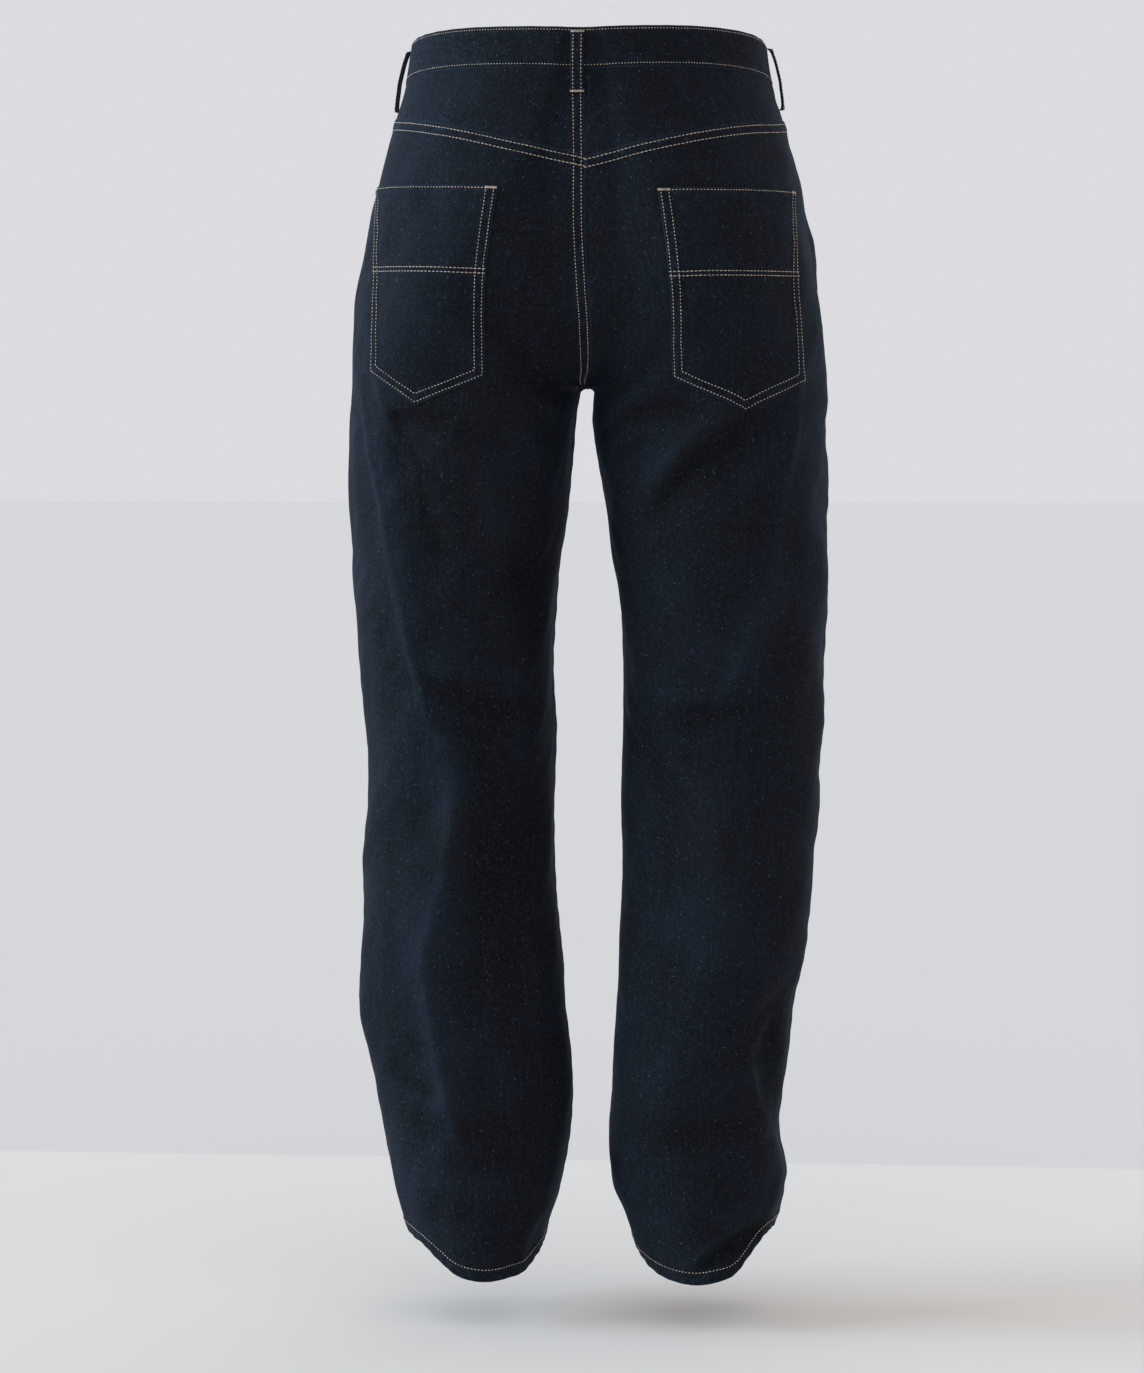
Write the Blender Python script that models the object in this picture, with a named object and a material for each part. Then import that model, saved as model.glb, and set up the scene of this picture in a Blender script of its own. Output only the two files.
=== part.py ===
"""Straight leg jeans as cut and sewn denim pieces, held in the form they take when worn.

The origin is the middle of the waist opening, half way up the waistband.
+Z is up, the front of the garment faces -Y and the wearer's left is +X.
Sizes in the tables are millimetres.
"""
import math

import bmesh
import bpy
import numpy as np

MM = 0.001

# Cloth and sewing sizes
CLOTH = 1.2
SEAM_GAP = 0.3
HEM_WALL = 2.4
HEM_DEPTH = 14.0
BAND_WALL = 2.5
BAND_HEIGHT = 35.0
BAND_OUT = 0.65
POCKET_WALL = 1.2
FACING_WALL = 1.0

# Top edge of the waistband: reach from the outseam to the centre, back and front heights
WAIST = (
    (1.0, 24.0, 5.0),
    (0.75, 25.5, 7.0),
    (0.5, 26.0, 10.5),
    (0.25, 23.5, 14.5),
    (0.0, 17.5, 17.5),
)

# Yoke seam: reach from the outseam to the centre back, left and right heights
YOKE_SEAM = (
    (1.0, -83.0, -84.0),
    (0.8, -71.1, -72.0),
    (0.6, -59.3, -62.2),
    (0.4, -50.9, -54.5),
    (0.2, -46.1, -50.5),
    (0.0, -42.0, -46.0),
)
YOKE_LEFT, YOKE_RIGHT = range(1, 3)

# Crotch point and the seat curves that lead to it
CROTCH = -276.0
SEAT_RISE_BACK = 105.0
SEAT_RISE_FRONT = 88.0
CROTCH_ROUND = 5.0
NEAR = 0.05
FRONT_DIP = 3.0

# How far the centre back seam strays across as it was sewn: height, shift
SEAT_STRAY = (
    (30.0, -4.0),
    (-82.0, -6.7),
    (-140.0, -7.2),
    (-190.0, -9.5),
    (-230.0, -10.0),
    (-262.0, -6.0),
    (-276.0, 0.0),
)
STRAY_REACH = 75.0
STRAY_DEPTH = 60.0

# Hem edge: reach from the outseam to the inseam, back and front heights over the heel
HEEL = -1044.0
HEM_LEFT = (
    (1.0, 22.0, 22.0),
    (0.9, 15.0, 27.0),
    (0.84, 8.0, 33.0),
    (0.78, 3.0, 38.0),
    (0.7, 1.0, 43.0),
    (0.58, 0.0, 49.0),
    (0.5, 4.0, 51.0),
    (0.42, 14.0, 53.0),
    (0.32, 25.0, 52.0),
    (0.2, 32.0, 46.0),
    (0.0, 31.0, 31.0),
)
HEM_RIGHT = (
    (1.0, 26.0, 26.0),
    (0.86, 20.0, 34.0),
    (0.79, 13.0, 39.0),
    (0.72, 7.0, 44.0),
    (0.62, 2.0, 49.0),
    (0.52, 1.0, 52.0),
    (0.46, 3.0, 53.0),
    (0.38, 8.0, 54.0),
    (0.3, 22.0, 54.0),
    (0.23, 34.0, 52.0),
    (0.11, 38.0, 46.0),
    (0.0, 36.0, 36.0),
)

# Seams sit a little forward of the sides
OUTSEAM_TURN = 0.09
INSEAM_TURN = 0.12
INSEAM_EASE = 120.0
ROUNDNESS = 2.1

# Grid counts and how the lines and columns gather towards the seat seam and crotch
BACK_COLUMNS = 15
FRONT_COLUMNS = 13
OUTLINE_STEPS = 120
YOKE_LINES = 3
UPPER_LINES = 4
SEAT_LINES = 8
ROUND_LINES = 3
THIGH_LINES = 5
LEG_LINES = 17
HEM_LINES = 3
COLUMN_GATHER = 1.3
SEAT_SPREAD = 4.0
FAN_SPREAD = 3.0
SEAT_SIDE = -171.0
THIGH_SIDE = -452.0
LEG_LOW = -930.0

# Torso: height, half width, middle of the side curve, back, front, side axis, cleft, blend
TORSO = (
    (30.0, 150.5, 18.0, 107.0, 104.0, 0.0, 0.0, 5.0),
    (18.0, 152.5, 20.0, 108.5, 105.0, 0.0, 0.0, 5.0),
    (-8.0, 156.5, 26.0, 111.0, 107.0, 0.0, 0.5, 7.0),
    (-26.0, 161.0, 32.0, 113.0, 109.0, 0.0, 1.0, 9.0),
    (-44.0, 166.5, 38.0, 116.0, 112.0, 0.5, 1.5, 11.0),
    (-78.0, 176.5, 52.0, 121.5, 116.0, 1.0, 3.0, 15.0),
    (-113.0, 185.0, 66.0, 126.5, 118.0, 2.0, 5.0, 20.0),
    (-147.0, 192.0, 80.0, 130.0, 118.0, 3.0, 7.0, 25.0),
    (-182.0, 197.5, 91.0, 131.5, 115.0, 4.0, 9.0, 28.0),
    (-217.0, 202.0, 99.0, 128.5, 110.0, 5.0, 11.0, 28.0),
    (-251.0, 205.0, 104.0, 119.0, 103.0, 6.0, 12.0, 28.0),
    (-276.0, 206.0, 106.3, 110.0, 98.0, 6.0, 12.0, 28.0),
)
HALF_WIDTH, SIDE_MIDDLE, BACK, FRONT, AXIS, CLEFT, BLEND = range(1, 8)
BLEND_SHARE = 0.6
CREST_FADE = 0.4

# Legs: height, centre, half width, girth of the cloth, centre fore and aft
LEG_LEFT = (
    (-276.0, 106.3, 99.7, 640.0, 6.0),
    (-304.0, 109.3, 98.2, 624.0, 5.0),
    (-356.0, 112.2, 95.8, 593.0, 3.0),
    (-391.0, 114.0, 94.0, 575.0, 1.5),
    (-426.0, 116.5, 90.5, 557.0, 0.0),
    (-461.0, 117.0, 88.0, 541.0, -1.0),
    (-496.0, 116.5, 85.5, 527.0, -2.0),
    (-531.0, 115.5, 84.5, 512.0, -3.0),
    (-567.0, 113.0, 83.0, 500.0, -4.0),
    (-602.0, 112.5, 81.5, 490.0, -4.0),
    (-637.0, 113.0, 82.0, 483.0, -2.0),
    (-673.0, 113.5, 83.5, 478.0, 1.0),
    (-708.0, 113.0, 84.0, 474.0, 4.0),
    (-743.0, 112.0, 86.0, 470.0, 7.0),
    (-779.0, 111.0, 89.0, 468.0, 9.0),
    (-814.0, 110.0, 90.0, 465.0, 11.0),
    (-850.0, 105.0, 89.0, 461.0, 12.0),
    (-885.0, 100.0, 87.0, 457.0, 13.0),
    (-921.0, 97.5, 82.5, 453.0, 13.0),
    (-957.0, 97.0, 76.0, 448.0, 12.0),
    (-992.0, 97.0, 67.5, 442.0, 12.0),
    (-1010.0, 96.5, 61.0, 438.0, 12.0),
    (-1046.0, 95.0, 54.0, 432.0, 12.0),
)
LEG_RIGHT = (
    (-276.0, 106.3, 99.7, 640.0, 6.0),
    (-304.0, 105.4, 100.6, 624.0, 5.0),
    (-356.0, 109.5, 97.5, 593.0, 3.0),
    (-391.0, 112.5, 94.5, 575.0, 1.5),
    (-426.0, 115.0, 93.0, 559.0, 0.0),
    (-461.0, 117.5, 90.5, 545.0, -1.0),
    (-496.0, 118.0, 88.0, 531.0, -2.0),
    (-531.0, 118.0, 87.0, 518.0, -3.0),
    (-567.0, 117.5, 87.5, 508.0, -4.0),
    (-602.0, 115.5, 86.5, 499.0, -4.0),
    (-637.0, 115.0, 86.0, 490.0, -2.0),
    (-673.0, 114.0, 84.0, 481.0, 1.0),
    (-708.0, 113.5, 83.5, 475.0, 4.0),
    (-743.0, 110.0, 81.0, 470.0, 7.0),
    (-779.0, 107.5, 79.5, 467.0, 9.0),
    (-814.0, 103.5, 77.5, 464.0, 11.0),
    (-850.0, 100.0, 76.0, 460.0, 12.0),
    (-885.0, 96.5, 74.5, 456.0, 13.0),
    (-921.0, 94.0, 74.0, 452.0, 13.0),
    (-957.0, 98.0, 76.0, 448.0, 12.0),
    (-975.0, 98.5, 73.5, 445.0, 12.0),
    (-992.0, 100.5, 67.5, 442.0, 12.0),
    (-1010.0, 101.0, 61.5, 438.0, 12.0),
    (-1046.0, 103.5, 51.0, 432.0, 12.0),
)
LEG_CENTRE, LEG_HALF, LEG_GIRTH, LEG_AXIS = range(1, 5)

# Large folds, each a bent line across the back (+1) or front (-1):
# leg side, face, start x z, bend x z, end x z, half width, height (troughs are negative)
FOLDS = (
    (1, 1, 182.0, -287.0, 165.0, -376.0, 133.0, -555.0, 15.0, 3.0),
    (1, 1, 115.0, -560.0, 104.0, -640.0, 120.0, -700.0, 22.0, 5.0),
    (1, 1, 120.0, -700.0, 139.0, -760.0, 126.0, -845.0, 22.0, 6.0),
    (1, 1, 126.0, -845.0, 113.0, -888.0, 104.0, -950.0, 20.0, 5.0),
    (1, 1, 74.0, -220.0, 61.0, -258.0, 14.0, -275.0, 11.0, -4.0),
    (1, 1, 163.0, -300.0, 135.0, -308.0, 103.0, -307.0, 11.0, -3.5),
    (1, 1, 71.0, -275.0, 41.0, -308.0, 37.0, -350.0, 12.0, 3.5),
    (1, 1, 72.0, -457.0, 51.0, -435.0, 30.0, -423.0, 15.0, -4.0),
    (1, 1, 138.0, -533.0, 86.0, -547.0, 50.0, -556.0, 11.0, -5.0),
    (1, 1, 132.0, -512.0, 86.0, -524.0, 43.0, -524.0, 12.0, 3.0),
    (1, 1, 60.0, -600.0, 52.0, -700.0, 64.0, -800.0, 20.0, -4.0),
    (1, 1, 150.0, -905.0, 100.0, -925.0, 50.0, -915.0, 13.0, -4.0),
    (1, 1, 150.0, -955.0, 100.0, -970.0, 58.0, -962.0, 12.0, 3.5),
    (-1, 1, 188.0, -230.0, 186.0, -310.0, 172.0, -414.0, 15.0, 3.0),
    (-1, 1, 172.0, -414.0, 150.0, -490.0, 128.0, -541.0, 16.0, 3.0),
    (-1, 1, 73.0, -229.0, 61.0, -266.0, 22.0, -284.0, 11.0, -4.0),
    (-1, 1, 31.0, -306.0, 60.0, -291.0, 102.0, -296.0, 11.0, -4.0),
    (-1, 1, 163.0, -296.0, 94.0, -346.0, 62.0, -392.0, 13.0, -5.0),
    (-1, 1, 153.0, -272.0, 88.0, -322.0, 48.0, -366.0, 13.0, 3.5),
    (-1, 1, 42.0, -562.0, 59.0, -602.0, 86.0, -636.0, 13.0, -4.5),
    (-1, 1, 150.0, -548.0, 110.0, -562.0, 66.0, -560.0, 12.0, -3.5),
    (-1, 1, 112.0, -600.0, 122.0, -700.0, 108.0, -800.0, 24.0, 5.0),
    (-1, 1, 183.0, -779.0, 146.0, -836.0, 162.0, -901.0, 12.0, -6.0),
    (-1, 1, 158.0, -926.0, 172.0, -938.0, 168.0, -958.0, 13.0, 4.0),
    (-1, 1, 150.0, -905.0, 96.0, -925.0, 46.0, -912.0, 13.0, -4.0),
    (-1, 1, 106.0, -1014.0, 136.0, -1004.0, 158.0, -985.0, 10.0, -4.0),
    (1, -1, 44.0, -262.0, 92.0, -246.0, 150.0, -205.0, 12.0, -4.0),
    (1, -1, 34.0, -282.0, 90.0, -284.0, 158.0, -255.0, 12.0, 3.5),
    (1, -1, 60.0, -545.0, 112.0, -566.0, 168.0, -550.0, 13.0, 4.0),
    (1, -1, 54.0, -590.0, 104.0, -606.0, 160.0, -588.0, 12.0, -4.0),
    (1, -1, 118.0, -620.0, 108.0, -730.0, 112.0, -850.0, 24.0, 5.0),
    (1, -1, 56.0, -880.0, 96.0, -896.0, 148.0, -872.0, 14.0, -6.0),
    (1, -1, 52.0, -915.0, 92.0, -930.0, 144.0, -908.0, 13.0, 6.0),
    (-1, -1, 46.0, -258.0, 96.0, -240.0, 156.0, -196.0, 12.0, -4.0),
    (-1, -1, 36.0, -286.0, 94.0, -280.0, 154.0, -246.0, 12.0, 3.0),
    (-1, -1, 58.0, -556.0, 108.0, -574.0, 166.0, -562.0, 13.0, 4.5),
    (-1, -1, 52.0, -604.0, 110.0, -618.0, 164.0, -596.0, 12.0, -4.0),
    (-1, -1, 112.0, -640.0, 118.0, -740.0, 106.0, -850.0, 24.0, 5.0),
    (-1, -1, 50.0, -872.0, 90.0, -890.0, 142.0, -880.0, 14.0, -6.0),
    (-1, -1, 54.0, -908.0, 96.0, -924.0, 146.0, -916.0, 13.0, 5.5),
)
FOLD_STEPS = 12
FOLD_TURN = 3.0
FOLD_END = 0.02

# Back pocket corners in the back view, from the inner top corner round to the outer one
POCKET_LEFT = ((65.4, -109.0), (80.0, -266.7), (138.1, -291.3), (179.0, -263.7), (179.0, -103.8))
POCKET_RIGHT = ((67.0, -111.9), (79.5, -268.6), (140.4, -296.1), (190.0, -272.0), (178.5, -109.8))

SNAP = 0.5
MARKS = 6

# Front pocket mouth and the facing under it
MOUTH_WIDTH = 92.0
MOUTH_DEPTH = 74.0
FACING_COLUMNS = 7
FACING_ROWS = 7

# Belt loops: width, thickness, reach over and under the band, bow and its shape
LOOP_WIDTH = 11.0
LOOP_WALL = 1.6
LOOP_ABOVE = 3.0
LOOP_BELOW = 20.5
LOOP_BOW = 5.5
LOOP_SQUARE = 0.45
LOOP_STEPS = 9
LOOP_STAND = 0.45
LOOP_EASE = 1.2

# Loops: name, garment side, back or front, reach from the outseam to the centre
LOOPS = (
    ("loop_back", 1, 1, 1.0),
    ("loop_side_left", 1, 1, 0.03),
    ("loop_side_right", -1, 1, 0.03),
    ("loop_front_left", 1, -1, 0.64),
    ("loop_front_right", -1, -1, 0.64),
)

# Band ends at centre front
LAP_REACHES = (1.0, 0.93, 0.86)
LAP_START = 46.0
LAP_FULL = 6.0
LAP_CLEAR = 2.8
BAND_COLUMNS = 14
BAND_NUDGE = 0.01

# Waist button
BUTTON_RADIUS = 8.5
BUTTON_HEIGHT = 3.2
BUTTON_PLACE = 8.0
BUTTON_TURNS = 24

# Button profile: share of the radius, share of the height
BUTTON_PROFILE = ((0.7, 0.0), (0.7, 0.35), (1.0, 0.45), (1.0, 0.75), (0.86, 1.0), (0.6, 0.93))

DENIM = ("denim", (0.020, 0.026, 0.042, 1.0), 0.85, 0.0)
BRASS = ("antique_brass", (0.35, 0.22, 0.10, 1.0), 0.35, 1.0)


def track(table, column, heights):
    """Smooth value of one table column at the given heights."""
    rows = np.array(table)[::-1]
    z = rows[:, 0]
    value = rows[:, column]
    slope = np.gradient(value, z)
    h = np.clip(heights, z[0], z[-1])
    i = np.clip(np.searchsorted(z, h) - 1, 0, len(z) - 2)
    step = z[i + 1] - z[i]
    t = (h - z[i]) / step
    start = (1 + 2 * t) * (1 - t) ** 2 * value[i] + t * (1 - t) ** 2 * step * slope[i]
    end = t * t * (3 - 2 * t) * value[i + 1] + t * t * (t - 1) * step * slope[i + 1]
    return start + end


def blend_max(a, b, width):
    """The larger of two values with a rounded change-over."""
    near = np.maximum(width - np.abs(a - b), 0.0)
    return np.maximum(a, b) + near * near / (4.0 * np.maximum(width, 1e-6))


def seat_curve(heights, rise):
    """How far the seat seam has come back from the crotch point, 0 to 1."""
    t = np.clip((heights - CROTCH) / rise, 0.0, 1.0)
    return np.sqrt(t * (2.0 - t))


def outline(leg, heights, turns):
    """Points x, y of one half of the garment, one row of turns for each height."""
    z = heights[:, None]
    torso = z > CROTCH + NEAR
    half = np.where(torso, track(TORSO, HALF_WIDTH, z), 0.0)
    middle = np.where(torso, track(TORSO, SIDE_MIDDLE, z), track(leg, LEG_CENTRE, z))
    axis = np.where(torso, track(TORSO, AXIS, z), track(leg, LEG_AXIS, z))
    leg_half = track(leg, LEG_HALF, z)
    radius = track(leg, LEG_GIRTH, z) / (2.0 * math.pi)
    leg_deep = np.sqrt(2.0 * radius ** 2 - leg_half ** 2)
    out_half = np.where(torso, half - middle, leg_half)
    drop = np.clip((CROTCH - z) / CROTCH_ROUND, 0.0, 1.0)
    inner = SEAM_GAP / 2 + (middle - leg_half - SEAM_GAP / 2) * np.sqrt(drop * (2.0 - drop))
    in_half = middle - np.where(torso, 0.0, inner)
    deep_back = np.where(torso, track(TORSO, BACK, z) - axis, leg_deep)
    deep_front = np.where(torso, track(TORSO, FRONT, z) + axis, leg_deep)
    cos = np.cos(turns)
    sin = np.sin(turns)
    power = 2.0 / ROUNDNESS
    across = np.sign(cos) * np.abs(cos) ** power
    along = np.sign(sin) * np.abs(sin) ** power
    x = middle + np.where(cos > 0, out_half, in_half) * across
    y = np.where(sin > 0, deep_back, deep_front) * along
    cleft = track(TORSO, CLEFT, z)
    level_back = (deep_back - cleft) * seat_curve(z, SEAT_RISE_BACK)
    level_front = (deep_front - FRONT_DIP) * seat_curve(z, SEAT_RISE_FRONT)
    soft = track(TORSO, BLEND, z)
    soft_back = np.minimum(soft, BLEND_SHARE * level_back)
    soft_front = np.minimum(soft, BLEND_SHARE * level_front)
    filled_back = blend_max(y, level_back, soft_back)
    filled_front = -blend_max(-y, level_front, soft_front)
    inside = torso & (cos < 0)
    crest_back = blend_max(deep_back, level_back, soft_back) - deep_back
    crest_front = blend_max(deep_front, level_front, soft_front) - deep_front
    crest = np.where(sin >= 0, crest_back, -crest_front) * np.exp(-(cos / CREST_FADE) ** 2)
    y = np.where(torso & (cos >= 0), y + crest, y)
    y = np.where(inside & (sin >= 0), filled_back, y)
    y = np.where(inside & (sin < 0), filled_front, y)
    return x, y + axis


def strip(leg, heights, reaches, face):
    """Points of a back (+1) or front (-1) panel, reach 0 at the outseam to 1 at the inner seam.

    heights has one row per line of the panel and one column per reach.
    """
    rows, columns = heights.shape
    flat = heights.reshape(-1)
    ease = np.clip((CROTCH - flat) / INSEAM_EASE, 0.0, 1.0)[:, None]
    steps = np.linspace(0.0, 1.0, OUTLINE_STEPS)[None, :]
    inner = math.pi + face * INSEAM_TURN * ease
    turns = -OUTSEAM_TURN + (face * inner + OUTSEAM_TURN) * steps
    x, y = outline(leg, flat, turns)
    lengths = np.hypot(np.diff(x, axis=1), np.diff(y, axis=1))
    run = np.concatenate([np.zeros((len(flat), 1)), np.cumsum(lengths, axis=1)], axis=1)
    points = np.zeros((len(flat), 3))
    targets = np.broadcast_to(reaches[None, :], (rows, columns)).reshape(-1)
    for i, reach in enumerate(targets):
        crest = np.interp(math.pi / 2, face * turns[i], run[i])
        level = crest + np.interp(crest, run[i], x[i])
        spare = run[i, -1] - SEAM_GAP - level
        place = SEAM_GAP / 2 + level * reach + spare * reach ** SEAT_SPREAD
        points[i] = (np.interp(place, run[i], x[i]), np.interp(place, run[i], y[i]), flat[i])
    return points.reshape(rows, columns, 3)


def edge_height(table, reaches, face):
    """Height of a waist or hem edge along a back (+1) or front (-1) panel."""
    return track(table, 1 if face > 0 else 2, reaches)


def seam_heights(face):
    """Heights at the inner seam of the lines that fan out from the seat curve and crotch."""
    rise = SEAT_RISE_BACK if face > 0 else SEAT_RISE_FRONT
    turn = np.linspace(0.0, math.pi / 2, SEAT_LINES + 1)
    seat = CROTCH + rise * (1.0 - np.sin(turn))
    turn = np.linspace(0.0, math.pi / 2, ROUND_LINES + 1)[1:]
    under = CROTCH - CROTCH_ROUND * (1.0 - np.cos(turn))
    lower = CROTCH - CROTCH_ROUND - INSEAM_EASE * np.linspace(0.0, 1.0, THIGH_LINES + 1)[1:] ** 1.4
    return np.concatenate([seat, under, lower])


def line_heights(reaches, face, side):
    """Heights of every line of a half panel, from the waist seam to the hem."""
    hem_table = HEM_LEFT if side > 0 else HEM_RIGHT
    column = YOKE_LEFT if side > 0 else YOKE_RIGHT
    waist = edge_height(WAIST, reaches, face) - BAND_HEIGHT - SEAM_GAP / 2
    yoke = track(YOKE_SEAM, column, reaches * (face > 0))
    hem = HEEL + edge_height(hem_table, reaches, face)
    inner = seam_heights(face)
    outer = np.linspace(SEAT_SIDE, THIGH_SIDE, len(inner))
    fan = [o + (i - o) * reaches ** FAN_SPREAD for o, i in zip(outer, inner)]
    level = np.full_like(reaches, LEG_LOW)
    fold = hem + HEM_DEPTH
    lines = [waist + (yoke - waist) * k / YOKE_LINES for k in range(YOKE_LINES + 1)]
    lines += [yoke + (fan[0] - yoke) * k / UPPER_LINES for k in range(1, UPPER_LINES)]
    lines += fan
    lines += [fan[-1] + (level - fan[-1]) * k / LEG_LINES for k in range(1, LEG_LINES + 1)]
    lines += [level + (fold - level) * k / HEM_LINES for k in range(1, HEM_LINES + 1)]
    lines += [hem]
    return np.array(lines)


def bend(fold, steps):
    """Points x, z along one bent fold line."""
    x0, z0, x1, z1, x2, z2 = fold[2:8]
    t = np.linspace(0.0, 1.0, steps)
    x = (1 - t) ** 2 * x0 + 2 * t * (1 - t) * x1 + t * t * x2
    z = (1 - t) ** 2 * z0 + 2 * t * (1 - t) * z1 + t * t * z2
    return np.stack([x, z], axis=1)


def fold_height(side, points, normals):
    """How far the folds move each point out of the plain form."""
    total = np.zeros(points.shape[:2])
    flat = points[..., [0, 2]]
    for fold in FOLDS:
        if fold[0] != side:
            continue
        half_width, height = fold[8], fold[9]
        path = bend(fold, FOLD_STEPS)
        nearest = np.full(points.shape[:2], np.inf)
        share = np.zeros(points.shape[:2])
        for k in range(FOLD_STEPS - 1):
            a = path[k]
            ab = path[k + 1] - a
            t = np.clip(((flat - a) @ ab) / (ab @ ab), 0.0, 1.0)
            gap = np.linalg.norm(flat - a - t[..., None] * ab, axis=-1)
            closer = gap < nearest
            nearest = np.where(closer, gap, nearest)
            share = np.where(closer, (k + t) / (FOLD_STEPS - 1), share)
        facing = np.clip(normals[..., 1] * fold[1] * FOLD_TURN, 0.0, 1.0)
        taper = np.sqrt(np.sin(math.pi * np.clip(share, FOLD_END, 1.0 - FOLD_END)))
        total += height * taper * facing * np.exp(-(nearest / half_width) ** 2)
    return total


def unit(vectors):
    """Vectors made one long."""
    size = np.linalg.norm(vectors, axis=-1, keepdims=True)
    return vectors / np.maximum(size, 1e-9)


def out_normals(points):
    """Outward direction at each point of a half garment grid, seam ends matched."""
    mirrored = points * np.array([-1.0, 1.0, 1.0])
    legs = points[:, 0, 2] <= CROTCH + NEAR
    before = np.where(legs[:, None], points[:, -1], mirrored[:, 1])
    after = np.where(legs[:, None], points[:, 0], mirrored[:, -2])
    wide = np.concatenate([before[:, None], points, after[:, None]], axis=1)
    along = unit(wide[:, 2:] - wide[:, 1:-1]) + unit(wide[:, 1:-1] - wide[:, :-2])
    down = np.diff(points, axis=0)
    down = unit(down)
    down = np.concatenate([down[:1], down[:-1] + down[1:], down[-1:]], axis=0)
    normals = unit(np.cross(unit(along), unit(down)))
    normals[~legs, 0, 0] = 0.0
    normals[~legs, -1, 0] = 0.0
    ends = unit(normals[:, 0] + normals[:, -1])
    normals[legs, 0] = ends[legs]
    normals[legs, -1] = ends[legs]
    side_seam = slice(BACK_COLUMNS, BACK_COLUMNS + 2)
    normals[:, side_seam] = normals[:, side_seam].sum(axis=1, keepdims=True)
    return unit(normals)


def half_garment(side):
    """Grid of points and outward directions of one half, back seam round to front seam."""
    leg = LEG_LEFT if side > 0 else LEG_RIGHT
    back_reaches = 1.0 - np.linspace(1.0, 0.0, BACK_COLUMNS + 1) ** COLUMN_GATHER
    front_reaches = 1.0 - np.linspace(1.0, 0.0, FRONT_COLUMNS + 1) ** COLUMN_GATHER
    back = strip(leg, line_heights(back_reaches, 1, side), back_reaches, 1)
    front = strip(leg, line_heights(front_reaches, -1, side), front_reaches, -1)
    points = np.concatenate([back[:, ::-1], front], axis=1)
    normals = out_normals(points)
    rise = fold_height(side, points, normals)
    points = points + normals * rise[..., None]
    normals = out_normals(points)
    mirror = np.array([side, 1.0, 1.0])
    return strayed(points * mirror), normals * mirror


def strayed(points):
    """The points with the centre back seam moved off the middle as it was sewn."""
    shift = track(SEAT_STRAY, 1, points[..., 2])
    near = np.exp(-(points[..., 0] / STRAY_REACH) ** 2)
    rear = np.clip(points[..., 1] / STRAY_DEPTH, 0.0, 1.0)
    moved = points.copy()
    moved[..., 0] += shift * near * rear * rear * (3.0 - 2.0 * rear)
    return moved


def material(recipe):
    """Principled material of one slot."""
    name, colour, roughness, metallic = recipe
    found = bpy.data.materials.get(name)
    if found:
        return found
    made = bpy.data.materials.new(name)
    made.use_nodes = True
    shader = made.node_tree.nodes["Principled BSDF"]
    shader.inputs["Base Color"].default_value = colour
    shader.inputs["Roughness"].default_value = roughness
    shader.inputs["Metallic"].default_value = metallic
    made.diffuse_color = colour
    return made


def add_body(name, bm, recipe):
    """Object made from one closed body."""
    bmesh.ops.recalc_face_normals(bm, faces=bm.faces)
    mesh = bpy.data.meshes.new(name)
    bm.to_mesh(mesh)
    bm.free()
    mesh.materials.append(material(recipe))
    for face in mesh.polygons:
        face.use_smooth = True
    made = bpy.data.objects.new(name, mesh)
    bpy.context.collection.objects.link(made)
    return made


def sheet_body(name, outer, inner, recipe):
    """Closed cloth piece between two grids of points that share their edges."""
    rows, columns = outer.shape[:2]
    bm = bmesh.new()
    top = [[bm.verts.new(p * MM) for p in line] for line in outer]
    low = [[bm.verts.new(p * MM) for p in line] for line in inner]
    for i in range(rows - 1):
        for j in range(columns - 1):
            for grid in (top, low):
                bm.faces.new((grid[i][j], grid[i + 1][j], grid[i + 1][j + 1]))
                bm.faces.new((grid[i][j], grid[i + 1][j + 1], grid[i][j + 1]))
    rim = [(0, j) for j in range(columns)]
    rim += [(i, columns - 1) for i in range(1, rows)]
    rim += [(rows - 1, j) for j in range(columns - 2, -1, -1)]
    rim += [(i, 0) for i in range(rows - 2, 0, -1)]
    for k, (i, j) in enumerate(rim):
        m, n = rim[(k + 1) % len(rim)]
        bm.faces.new((top[i][j], top[m][n], low[m][n], low[i][j]))
    return add_body(name, bm, recipe)


def triangles(points, normals, marks):
    """Triangles of a grid, each corner with its point, direction and marks."""
    data = np.concatenate([points, normals, marks], axis=-1)
    rows, columns = points.shape[:2]
    found = []
    for i in range(rows - 1):
        for j in range(columns - 1):
            a, b = data[i, j], data[i + 1, j]
            c, d = data[i + 1, j + 1], data[i, j + 1]
            found.append([a, b, c])
            found.append([a, c, d])
    return found


def clipped(polygon, column):
    """The part of a polygon where the marked value is above zero."""
    kept = []
    for k, here in enumerate(polygon):
        there = polygon[(k + 1) % len(polygon)]
        if here[column] >= 0.0:
            kept.append(here)
        if here[column] * there[column] < 0.0:
            t = here[column] / (here[column] - there[column])
            kept.append(here + (there - here) * t)
    return kept


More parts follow.
